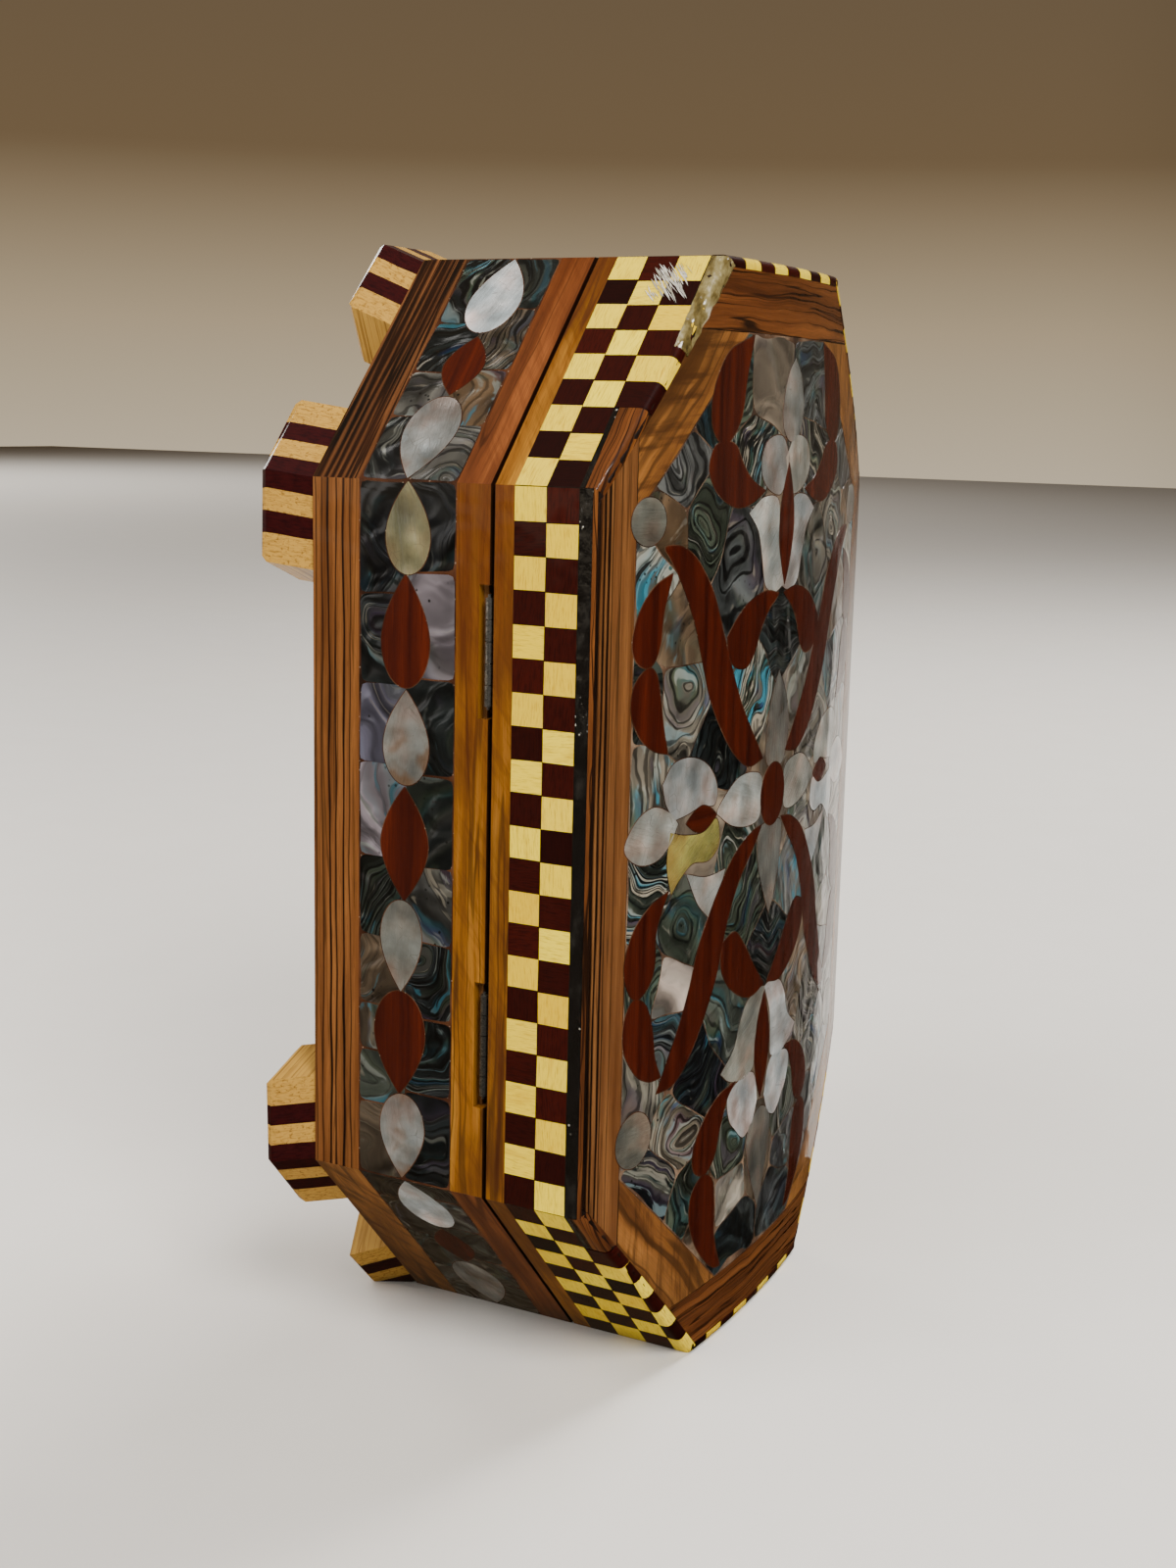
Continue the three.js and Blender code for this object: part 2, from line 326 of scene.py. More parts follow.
def finishTray(name, tray, material, body, sharpAngle=40):
    mesh = bpy.data.meshes.new(name)
    mesh.from_pydata(tray["points"], [], tray["faces"])
    for key, kind, field in (("grain", "FLOAT_VECTOR", "vector"), ("look", "FLOAT_COLOR", "color")):
        data = mesh.attributes.new(key, kind, "POINT").data
        data.foreach_set(field, [c for values in tray[key] for c in values])
    work = bmesh.new()
    work.from_mesh(mesh)
    bmesh.ops.recalc_face_normals(work, faces=work.faces)
    for face in work.faces:
        face.smooth = True
    work.to_mesh(mesh)
    work.free()
    mesh.set_sharp_from_angle(angle=math.radians(sharpAngle))
    mesh.materials.append(material)
    piece = bpy.data.objects.new(name, mesh)
    bpy.context.scene.collection.objects.link(piece)
    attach(piece, body)


bench = {}  # the node tree that the helpers add to


# A value in the node tree; arithmetic on it adds Math nodes.
class Field:
    def __init__(self, socket):
        self.socket = socket

    def __add__(self, other):
        return calc("ADD", self, other)

    def __sub__(self, other):
        return calc("SUBTRACT", self, other)

    def __rsub__(self, other):
        return calc("SUBTRACT", other, self)

    def __mul__(self, other):
        return calc("MULTIPLY", self, other)

    def __truediv__(self, other):
        return calc("DIVIDE", self, other)

    def __abs__(self):
        return calc("ABSOLUTE", self)


def wire(socket, value):
    if isinstance(value, Field):
        bench["tree"].links.new(value.socket, socket)
    else:
        socket.default_value = value


def addNode(kind, inputs=None, **settings):
    node = bench["tree"].nodes.new("ShaderNode" + kind)
    for key, value in settings.items():
        setattr(node, key, value)
    for key, value in (inputs or {}).items():
        wire(node.inputs[key], value)
    return node


def fieldOf(kind, inputs=None, out=0, **settings):
    return Field(addNode(kind, inputs, **settings).outputs[out])


def calc(operation, *values):
    return fieldOf("Math", dict(enumerate(values)), operation=operation)


# A grey from one number, or a colour from three in 0 to 255; four are taken as they are.
def toneOf(tone):
    if isinstance(tone, Field) or not isinstance(tone, float) and len(tone) == 4:
        return tone
    if isinstance(tone, float):
        return (tone,) * 3 + (1.0,)
    return tuple(c / 255 / 12.92 if c < 10.3 else ((c / 255 + 0.055) / 1.055) ** 2.4 for c in tone) + (1.0,)


def blend(share, a, b, mode="MIX"):
    inputs = {0: share, 6: toneOf(a), 7: toneOf(b)}
    return fieldOf("Mix", inputs, 2, data_type="RGBA", blend_type=mode)


def fade(value, low, high, start=0.0, end=1.0):
    inputs = {0: value, 1: low, 2: high, 3: start, 4: end}
    return fieldOf("MapRange", inputs, interpolation_type="SMOOTHSTEP")


def ramp(value, stops):
    node = addNode("ValToRGB", {0: value})
    marks = node.color_ramp.elements
    while len(marks) < len(stops):
        marks.new(0.5)
    for mark, (position, tone) in zip(marks, stops):
        mark.position, mark.color = position, toneOf(tone)
    return Field(node.outputs[0])


# The tone darkened or lightened by a ramp over a value.
def shaded(tone, value, stops, share=1.0):
    return blend(share, tone, ramp(value, stops), "MULTIPLY")


def noiseAt(vector, scale=1.0, detail=2.0, roughness=0.5, distortion=0.0, out=0):
    shape = {"Scale": scale, "Detail": detail, "Roughness": roughness, "Distortion": distortion}
    return fieldOf("TexNoise", {"Vector": vector, **shape}, out)


def cells(vector, scale, feature="F1"):
    return fieldOf("TexVoronoi", {"Vector": vector, "Scale": scale}, feature=feature)


def join(x, y, z):
    return fieldOf("CombineXYZ", {0: x, 1: y, 2: z})


def split(vector):
    return [Field(part) for part in addNode("SeparateXYZ", {0: vector}).outputs]


def objectPlace():
    return fieldOf("TexCoord", out="Object")


def objectMillimetres():
    return fieldOf("VectorMath", {0: objectPlace(), 3: 1000.0}, operation="SCALE")


def bumpOf(height, strength, distance):
    return fieldOf("Bump", {"Height": height, "Strength": strength, "Distance": distance})


def newMaterial(name, ripple=0.0003, **sockets):
    material = bpy.data.materials.new(name)
    material.use_nodes = True
    bench["tree"] = material.node_tree
    bench["tree"].nodes.clear()
    shader = addNode("BsdfPrincipled")
    addNode("OutputMaterial", {0: Field(shader.outputs[0])})
    for key, value in sockets.items():
        shader.inputs[key.replace("_", " ")].default_value = value
    if "Coat_Weight" in sockets:
        wire(shader.inputs["Coat Normal"], bumpOf(noiseAt(objectPlace(), 75.0, 2, 0.55), 1.0, ripple))
    return material, shader


def paint(shader, tone, height, strength, distance):
    wire(shader.inputs["Base Color"], tone)
    wire(shader.inputs["Normal"], bumpOf(height, strength, distance))


# Along, across and seed in millimetres on an inlaid piece.
def grainCoords():
    return split(fieldOf("Attribute", out="Vector", attribute_name="grain"))


def lookValues():
    node = addNode("Attribute", attribute_name="look")
    parts = addNode("SeparateColor", {0: Field(node.outputs["Color"])}).outputs
    return [Field(socket) for socket in (*parts, node.outputs["Alpha"])]


# The same on the sides of the frame's own nodes, where the grain runs round the box.
def sideCoords():
    coords = addNode("TexCoord")
    x, y, z = split(Field(coords.outputs["Object"]))
    _, ny, nz = split(Field(coords.outputs["Normal"]))
    along = y * nz - z * ny
    seed = calc("ROUND", ny * 2.0) * 7.3 + calc("ROUND", nz * 2.0) * 3.1
    return along / mm, x / mm - size["underside"], seed


# On the plain carcass the grain runs along the box whatever the face.
def boxCoords():
    x, y, z = split(objectPlace())
    return z / mm, (x * 0.8 + y) / mm, x * 40.0


lacquer = {"Coat_Weight": 0.75, "Coat_Roughness": 0.08, "Coat_IOR": 1.38}


# Wood under lacquer. Bands and lines run along the grain; fibres and pores sit on top.
def makeWood(name, look, coords):
    coat, roughness = look.get("coat", lacquer), look.get("roughness", 0.45)
    material, shader = newMaterial(name, Roughness=roughness, Specular_IOR_Level=0.05, **coat)
    along, across, seed = coords()
    drift = noiseAt(join(along * look["waveAlong"], across * 0.1, seed))
    bent = (drift - 0.5) * look["wave"] + across

    def streaks(stretch, fine, shift, detail):
        return noiseAt(join(along * stretch, bent * fine, seed + shift), 1.0, detail, 0.6)

    tone = ramp(streaks(0.012, look["bandScale"], 0.0, 3), list(zip((0.3, 0.5, 0.68), look["tones"])))
    off = abs(calc("FRACT", streaks(0.006, look["lineScale"], 11.3, 1.5) * look["lineCount"]) - 0.5)
    width = streaks(0.02, 0.2, 5.0, 1) * look["lineWidth"]
    tone = blend(fade(off, width * 0.3, width, 1.0, 0.0) * look["lineShare"], tone, look["lineTone"])
    for place, width, strength in look.get("marks", []):
        sway = (streaks(0.02, 0.12, 20.0 + place, 2) - 0.5) * look["sway"] + across
        swell = noiseAt(join(along * 0.05, place, seed), 1.0, 2)
        wide = swell * (1.2 * width) + 0.4 * width
        tone = blend(fade(abs(sway - place), wide * 0.25, wide, 1.0, 0.0) * strength, tone, look["lineTone"])
    if "figure" in look:
        lean, cross = across * look["figureLean"] + along, along * -0.25 + across
        figure = noiseAt(join(lean * 0.35, cross * 0.08, seed), 1.0, 3, 0.6)
        tone = blend(fade(figure, 0.45, 0.7, 0.0, look["figure"]), tone, look["blotchTone"])
    if "ruddy" in look:
        low, high, share = look["ruddy"]
        tone = blend(fade(along, low, high, 0.0, share), tone, look["ruddyTone"])
    fibre = streaks(0.16, 4.5, 2.0, 3)
    tone = shaded(tone, fibre, [(0.25, 0.68), (0.75, 1.2)])
    pore = fade(streaks(0.3, 6.0, 8.0, 1), 0.66, 0.74)
    tone = blend(pore * look["pores"], tone, look["lineTone"])
    blotch = noiseAt(join(along * 0.04, across * 0.09, seed), 1.0, 2)
    tone = blend(fade(blotch, 0.35, 0.75, 0.0, look["blotch"]), tone, look["blotchTone"])
    # a near-black line at the seam's height: painted shade of the gap between rim and lid strip
    if "seam" in look:
        tone = blend(fade(abs(across - look["seam"]), 0.45, 0.65, 0.9, 0.0), tone, (8, 5, 3))
    paint(shader, tone, fibre - pore * 0.6, 0.25, 0.0001)
    return material


# Tones go from dark to light; marks are the drawn lines' heights, widths and strengths.
stripedLook = {
    "tones": [(79, 44, 18), (107, 65, 29), (128, 81, 38)], "lineTone": (16, 8, 4),
    "bandScale": 0.35, "lineScale": 0.28, "lineCount": 4.0, "lineWidth": 0.1, "lineShare": 0.5,
    "wave": 1.2, "waveAlong": 0.02, "pores": 0.35, "blotch": 0.2, "blotchTone": (76, 38, 16), "sway": 2.2,
}
borderLook = {
    **stripedLook,
    "marks": [
        (0.6, 0.3, 0.7), (2.2, 0.3, 0.8), (4.1, 0.45, 1.0),
        (5.9, 0.35, 0.9), (7.9, 0.45, 1.0), (9.6, 0.3, 0.8),
    ],
}
ebonyLook = {
    **stripedLook,
    "tones": [(52, 30, 17), (86, 52, 28), (118, 74, 42)], "lineTone": (13, 8, 5),
    "lineCount": 7.0, "lineWidth": 0.42, "lineShare": 0.95, "sway": 1.0,
    "marks": [
        (1.2, 1.0, 1.0), (3.2, 0.9, 1.0), (5.0, 0.8, 1.0),
        (6.6, 0.9, 1.0), (8.4, 0.6, 1.0), (9.6, 0.4, 1.0),
    ],
}
longStripLook = {
    **stripedLook,
    "tones": [(79, 44, 18), (107, 68, 34), (130, 86, 44)], "sway": 1.2,
    "marks": [
        (5.8, 1.1, 1.0), (4.1, 0.55, 1.0), (2.5, 0.6, 1.0),
        (1.4, 0.3, 0.8), (-1.2, 0.3, 0.6), (-5.9, 0.4, 0.8),
    ],
}
walnutLook = {
    **stripedLook,
    "tones": [(62, 32, 13), (92, 51, 21), (118, 70, 31)],
    "lineCount": 8.0, "lineWidth": 0.24, "lineShare": 0.9, "wave": 3.5, "waveAlong": 0.045,
}
oliveLook = {
    "tones": [(88, 52, 22), (130, 83, 36), (158, 106, 50)], "lineTone": (30, 17, 9),
    "bandScale": 0.16, "lineScale": 0.12, "lineCount": 3.0, "lineWidth": 0.14, "lineShare": 0.6,
    "wave": 5.0, "waveAlong": 0.05, "pores": 0.5, "blotch": 0.6, "blotchTone": (58, 33, 14),
    "figure": 0.75, "figureLean": 1.1,
}
rimLook = {
    "tones": [(82, 46, 14), (126, 79, 22), (158, 108, 34)], "lineTone": (32, 16, 7),
    "bandScale": 0.3, "lineScale": 0.16, "lineCount": 3.0, "lineWidth": 0.1, "lineShare": 0.6,
    "wave": 2.5, "waveAlong": 0.04, "pores": 0.4, "blotch": 0.6, "blotchTone": (64, 30, 11),
    "figure": 0.34, "figureLean": 1.6,
    # redder from one place along the side to another, and a painted shade line at the height of the seam gap
    "ruddy": (120.0, 178.0, 0.75), "ruddyTone": (82, 38, 12), "seam": 44.35,
}
ruddyRimLook = {**rimLook, "tones": [(66, 34, 16), (100, 54, 25), (128, 74, 36)], "blotchTone": (72, 34, 16)}
inlayLook = {
    "tones": [(43, 10, 4), (60, 17, 5), (76, 24, 7)], "lineTone": (24, 5, 3),
    "bandScale": 0.35, "lineScale": 0.4, "lineCount": 3.0, "lineWidth": 0.1, "lineShare": 0.3,
    "wave": 1.5, "waveAlong": 0.05, "pores": 0.4, "blotch": 0.35, "blotchTone": (44, 10, 5),
}
carcassLook = {
    "tones": [(90, 58, 30), (118, 80, 44), (140, 102, 62)], "lineTone": (56, 34, 18),
    "bandScale": 0.12, "lineScale": 0.1, "lineCount": 4.0, "lineWidth": 0.14, "lineShare": 0.4,
    "wave": 4.0, "waveAlong": 0.02, "pores": 0.5, "blotch": 0.3, "blotchTone": (76, 48, 24),
    "roughness": 0.55, "coat": {"Coat_Weight": 0.3, "Coat_Roughness": 0.3, "Coat_IOR": 1.33},
}
borderWood = makeWood("borderWood", borderLook, sideCoords)
ebonyWood = makeWood("ebonyWood", ebonyLook, sideCoords)
borderOlive = makeWood("borderOliveWood", oliveLook, sideCoords)
rimWood = makeWood("rimWood", rimLook, sideCoords)
ruddyRimWood = makeWood("ruddyRimWood", ruddyRimLook, sideCoords)
longStripWood = makeWood("longStripWood", longStripLook, grainCoords)
endStripWood = makeWood("endStripWood", walnutLook, grainCoords)
cornerStripWood = makeWood("cornerStripWood", oliveLook, grainCoords)
redWood = makeWood("redInlayWood", inlayLook, grainCoords)
carcassWood = makeWood("carcassWood", carcassLook, boxCoords)
print("wood materials made")

shellLook = {
    "tones": [
        (0.0, (24, 27, 34)), (0.15, (34, 42, 42)), (0.3, (66, 74, 62)), (0.45, (82, 86, 88)),
        (0.6, (124, 120, 108)), (0.75, (110, 88, 64)), (0.9, (180, 174, 160)), (0.94, (186, 168, 156)),
        (1.0, (122, 120, 140)),
    ],
    # colours of the painted iridescent sheen, then of the painted glints
    "paintedSheenTones": [
        (0.3, (44, 78, 140)), (0.4, (50, 140, 150)), (0.48, (104, 124, 92)),
        (0.56, (122, 116, 104)), (0.66, (104, 84, 120)), (0.8, (160, 108, 92)),
    ],
    "paintedGlintTones": [(0.38, (70, 160, 184)), (0.46, (176, 186, 178)), (0.58, (200, 190, 168))],
    "bend": 15.0, "uneven": 1.8, "contour": (9, 11, 13), "pits": (14, 13, 12),
}


# Dark shell with contour lines round an eye, with painted sheen and painted glints. look: tone, pitch in mm /
# 10, line strength, strength of the painted sheen and glints.
def makeAbalone(name, depth):
    material, shader = newMaterial(name, Roughness=0.3, Metallic=0.25, Specular_IOR_Level=0.3, **lacquer)
    x, y, seed = grainCoords()
    tone, pitch, lines, paintedSheenStrength = lookValues()
    place = join(x, y, seed * 17.0)
    wx, wy, _ = split(noiseAt(place, 0.075, 1, out=1))
    bx, by = (wx - 0.5) * shellLook["bend"] + x, (wy - 0.5) * shellLook["bend"] + y
    phase = calc("SQRT", bx * bx + by * by) / (pitch * 10.0)
    phase = noiseAt(join(phase * 0.7, seed, 0.0), 1.0, 1) * shellLook["uneven"] + phase
    phase = noiseAt(place, 0.3, 1) * 0.4 + phase
    layer, within = calc("FLOOR", phase), calc("FRACT", phase)
    chance = fieldOf("TexWhiteNoise", {"W": layer + seed}, noise_dimensions="1D")
    swell = noiseAt(join(bx * 0.12, by * 0.12, layer), 1.0, 1)
    thick = (chance * 0.3 + 0.09) * fade(swell, 0.3, 0.7, 0.35, 1.3)
    line = fade(calc("MINIMUM", within, 1.0 - within), thick * 0.6, thick, 1.0, 0.0) * lines

    def alongLayers(across, run, shift, detail=1):
        return noiseAt(join(phase * across, (bx + by) * run, seed + shift), 1.0, detail)

    base = ramp(tone, shellLook["tones"])
    base = shaded(base, alongLayers(0.6, 0.07, 2.0), [(0.3, 0.3), (0.5, 0.85), (0.7, 2.3)])
    # painted sheen: iridescent colours laid into the base colour
    paintedSheenMask = fade(alongLayers(0.5, 0.1, 60.0), 0.48, 0.62) * (paintedSheenStrength * 0.55)
    base = blend(paintedSheenMask, base, ramp(alongLayers(0.4, 0.05, 40.0), shellLook["paintedSheenTones"]))
    # painted glints: bright silver and cyan highlights laid into the base colour
    least = paintedSheenStrength * -0.16 + 0.68
    paintedGlintMask = fade(alongLayers(1.6, 0.13, 80.0, 2), least, least + 0.08) * (paintedSheenStrength * 0.8)
    base = blend(paintedGlintMask, base, ramp(alongLayers(0.3, 0.03, 70.0), shellLook["paintedGlintTones"]))
    pits = fade(cells(place, 0.6), 0.12, 0.26, 1.0, 0.0) * fade(noiseAt(place, 0.1, 1), 0.58, 0.66)
    base = blend(pits, base, shellLook["pits"])
    base = blend(line, base, shellLook["contour"])
    base = blend(1.0, base, depth, "MULTIPLY")
    ripple = noiseAt(join(bx, by, seed), 0.16, 1) + alongLayers(2.0, 0.05, 90.0) * 0.22
    paint(shader, base, ripple, 1.0, 0.0016)
    return material


pearlLook = {
    "tones": [(0.0, (66, 61, 51)), (0.5, (110, 108, 101)), (1.0, (200, 204, 206))],
    "warm": (150, 142, 70), "silk": (96, 96, 94), "stain": (84, 54, 18),
    "crack": (60, 52, 40), "pits": (60, 50, 36),
    "tints": [(0.35, (226, 238, 244)), (0.5, 1.0), (0.65, (255, 230, 222))],
}


# Pale shell. look: tone, stain, silk, warmth.
def makePearl():
    sockets = {"Roughness": 0.32, "Metallic": 0.2, "Specular_IOR_Level": 0.45}
    material, shader = newMaterial("pearlShell", **sockets, **lacquer)
    x, y, seed = grainCoords()
    tone, stain, silk, warm = lookValues()
    place = join(x, y, seed * 13.0)
    base = blend(warm * 0.7, ramp(tone, pearlLook["tones"]), pearlLook["warm"])
    soft = noiseAt(join(x, y, seed + 33.0), 0.09, 1)
    base = shaded(base, soft, [(0.3, 0.6), (0.5, 1.0), (0.7, 1.7)])
    cloud = noiseAt(place, 0.22, 4, 0.6)
    base = shaded(base, cloud, [(0.25, (186, 182, 176)), (0.75, 1.0)])
    base = shaded(base, noiseAt(join(x, y, seed + 9.0), 0.12, 2), pearlLook["tints"], 0.9)
    layers = noiseAt(join(x * 0.1, y * 1.3, seed), 1.0, 3, 0.6, 0.6)
    base = blend(fade(layers, 0.45, 0.75) * (silk * 0.4), base, pearlLook["silk"])
    edge = stain * -0.2 + 0.62
    brown = fade(noiseAt(join(x, y, seed + 21.0), 0.13, 2), edge, edge + 0.16)
    base = blend(brown * (stain * 0.9), base, pearlLook["stain"])
    crack = fade(cells(place, 0.28, "DISTANCE_TO_EDGE"), 0.0, 0.03, 0.5, 0.0)
    base = blend(crack * fade(cloud, 0.5, 0.6), base, pearlLook["crack"])
    base = blend(fade(cells(place, 0.7), 0.05, 0.1, 0.5, 0.0), base, pearlLook["pits"])
    paint(shader, base, soft + layers * 0.12, 0.8, 0.003)
    return material


# The filler between the shell pieces, with crumbs of shell in it.
def makePaste(name, *tones):
    material, shader = newMaterial(name, Roughness=0.5, Specular_IOR_Level=0.05, **lacquer)
    place = objectMillimetres()
    base = ramp(noiseAt(place, 0.09, 3), list(zip((0.35, 0.5, 0.65), tones)))
    grit = noiseAt(place, 1.6, 3, 0.7)
    base = blend(fade(grit, 0.56, 0.7, 0.0, 0.7), base, (40, 28, 20))
    base = blend(fade(cells(place, 0.8), 0.08, 0.2, 0.45, 0.0), base, (150, 136, 116))
    paint(shader, base, grit, 0.3, 0.0002)
    return material


tileLook = {
    "pale": [(204, 165, 16), (230, 204, 40)], "bleached": (230, 208, 66),
    "fibre": (160, 118, 12), "broad": (182, 138, 20),
    "deep": [(24, 4, 3), (52, 11, 5)], "deepFibre": (14, 2, 2),
}


# Checker woods. look: 0 yellow or 1 dark, shade, pallor; the fourth isn't used.
def makeChecker():
    material, shader = newMaterial("checkerWood", Roughness=0.4, Specular_IOR_Level=0.05, **lacquer)
    x, y, seed = grainCoords()
    dark, shade, pallor, _ = lookValues()
    fibre = noiseAt(join(x * 0.35, y * 3.2, seed), 1.0, 4, 0.65, 0.3)
    broad = noiseAt(join(x * 0.1, y * 0.35, seed + 5.0), 1.0, 2)
    pale = blend(pallor, blend(shade, *tileLook["pale"]), tileLook["bleached"])
    pale = blend(fade(fibre, 0.45, 0.75, 0.0, 0.75), pale, tileLook["fibre"])
    pale = blend(fade(broad, 0.55, 0.75, 0.0, 0.4), pale, tileLook["broad"])
    deep = blend(fade(fibre, 0.42, 0.7, 0.0, 0.7), blend(shade, *tileLook["deep"]), tileLook["deepFibre"])
    paint(shader, blend(dark, pale, deep), fibre, 0.2, 0.0001)
    return material


def makeGlue():
    material, shader = newMaterial("darkGlue", Roughness=0.5, Specular_IOR_Level=0.05, **lacquer)
    place = objectMillimetres()
    base = ramp(noiseAt(place, 0.5, 3), [(0.35, (16, 10, 7)), (0.6, (26, 17, 12)), (0.75, (48, 34, 23))])
    paint(shader, base, noiseAt(place, 2.0, 2), 0.3, 0.0001)
    return material


# Thick resin run along the lid's edge. look: clearness, haze; the others aren't used.
def makeResin():
    material, shader = newMaterial("edgeResin", Roughness=0.12, **lacquer)
    x, y, seed = grainCoords()
    clear, haze, _, _ = lookValues()
    cloud = noiseAt(join(x * 0.5, y, seed), 0.25, 4, 0.6)
    dark = ramp(cloud, [(0.3, (7, 6, 5)), (0.55, (13, 12, 11)), (0.75, (36, 35, 32))])
    ambers = [(0.3, (34, 27, 13)), (0.45, (98, 84, 46)), (0.55, (134, 122, 82)), (0.7, (204, 198, 174))]
    # pale specks: bubbles in the resin, brightened as painted highlights
    there = fade(noiseAt(join(x, y, 3.0), 0.08, 1), 0.56, 0.66)
    bubblesAndGlints = fade(cells(join(x, y, seed), 0.75), 0.1, 0.24, 1.0, 0.0) * there
    base = blend(bubblesAndGlints * 0.7, blend(clear, dark, ramp(cloud, ambers)), (180, 176, 160))
    paint(shader, blend(haze, base, (206, 203, 196)), cloud + bubblesAndGlints, 0.6, 0.0006)
    return material


def makeSteel():
    material, shader = newMaterial("hingeSteel", Metallic=1.0)
    place = objectMillimetres()
    wear = noiseAt(place, 1.2, 4, 0.65)
    wire(shader.inputs["Roughness"], fade(wear, 0.3, 0.7, 0.5, 0.28))
    base = ramp(wear, [(0.3, (62, 58, 52)), (0.5, (128, 126, 120)), (0.7, (200, 198, 190))])
    paint(shader, base, noiseAt(place, 3.0, 3), 0.3, 0.0001)
    return material


lidAbalone, bandAbalone, pearl = makeAbalone("lidAbalone", 0.64), makeAbalone("bandAbalone", 0.3), makePearl()
lidPaste = makePaste("lidPaste", (50, 36, 28), (84, 62, 47), (126, 104, 84))
jointDark = makePaste("jointFiller", (36, 20, 12), (62, 36, 22), (88, 60, 42))
bandPaste = makePaste("bandPaste", (30, 17, 10), (58, 31, 17), (84, 52, 32))
checker, glue, resin, steel = makeChecker(), makeGlue(), makeResin(), makeSteel()
print("shell, checker, resin and steel materials made")

# The feet's layers run parallel to the corner's bisector.
footLook = {
    "light": (172, 132, 58), "flecks": (98, 62, 20), "dark": (44, 9, 9), "deep": (26, 5, 6),
    # how far from the bisector each layer ends, and whether it is dark
    "layers": [(4.0, 1), (8.8, 0), (13.6, 1), (17.6, 0)], "squeeze": 0.92, "round": 1.9,
    "coat": {"Coat_Weight": 0.5, "Coat_Roughness": 0.2, "Coat_IOR": 1.35, "ripple": 0.00006},
}


def makeFootWood(index):
    name = "footWood_%d" % (index + 1)
    material, shader = newMaterial(name, Roughness=0.4, Specular_IOR_Level=0.05, **footLook["coat"])
    corner = Vector(outline[index])
    across = (facets[index]["along"] + facets[index - 1]["along"]).normalized()
    x, y, z = split(objectPlace())
    off = (z - corner.y * mm) * (across.y / mm) + (y - corner.x * mm) * (across.x / mm)
    off = abs(off + (noiseAt(objectPlace(), 120.0, 2) - 0.5) * 0.5)
    height = x / mm
    fibre = noiseAt(join(off * 2.2, height * 0.5, float(index)), 1.0, 4, 0.65, 0.5)
    fleck = noiseAt(join(off * 1.2, height * 1.1, index + 7.0), 1.0, 3, 0.7)
    light = blend(fade(fibre, 0.44, 0.7, 0.0, 0.65), footLook["light"], footLook["flecks"])
    light = blend(fade(fleck, 0.55, 0.66, 0.0, 0.7), light, footLook["flecks"])
    dark = blend(fade(fibre, 0.4, 0.7), footLook["dark"], footLook["deep"])
    share = 0.0
    for edge, isDark in reversed(footLook["layers"]):
        inLayer = calc("LESS_THAN", off, edge * footLook["squeeze"])
        share = inLayer * float(isDark) + (1.0 - inLayer) * share
    paint(shader, blend(share, light, dark), fibre, 0.15, 0.0001)
    return material


def dress(node, material, bevel=0.0, segments=2):
    piece = nodes[node]
    piece.data.materials.clear()
    piece.data.materials.append(material)
    if bevel:
        rounding = piece.modifiers.new("rounding", "BEVEL")
        rounding.width, rounding.segments, rounding.limit_method = bevel * mm, segments, "ANGLE"
        rounding.angle_limit = math.radians(20)


borderWoods = {
    "back": borderWood, "back_upper": ebonyWood, "upper": borderOlive, "front_upper": borderOlive,
    "front": borderWood, "front_lower": ebonyWood, "lower": borderOlive, "back_lower": borderOlive,
}
for i, name in enumerate(facetNames):
    dress("foot_%d" % (i + 1), makeFootWood(i), footLook["round"], 3)
    dress("base_border_" + name, borderWoods[name], 0.3)
    dress("base_shell_" + name, bandPaste)
    dress("base_rim_" + name, rimWood if name in longSides else ruddyRimWood, 0.3)
    dress("lid_checker_" + name, glue)
    dress("lid_border_" + name, glue)
for name in ("base_walls", "base_floor", "lid_walls", "lid_vault"):
    dress(name, carcassWood)
dress("lid_mosaic", lidPaste)
dress("lid_lower_strip", rimWood, 0.3)
for name in nodes:
    if name.startswith("hinge_"):
        dress(name, steel, 0.12)
print("frame nodes dressed")

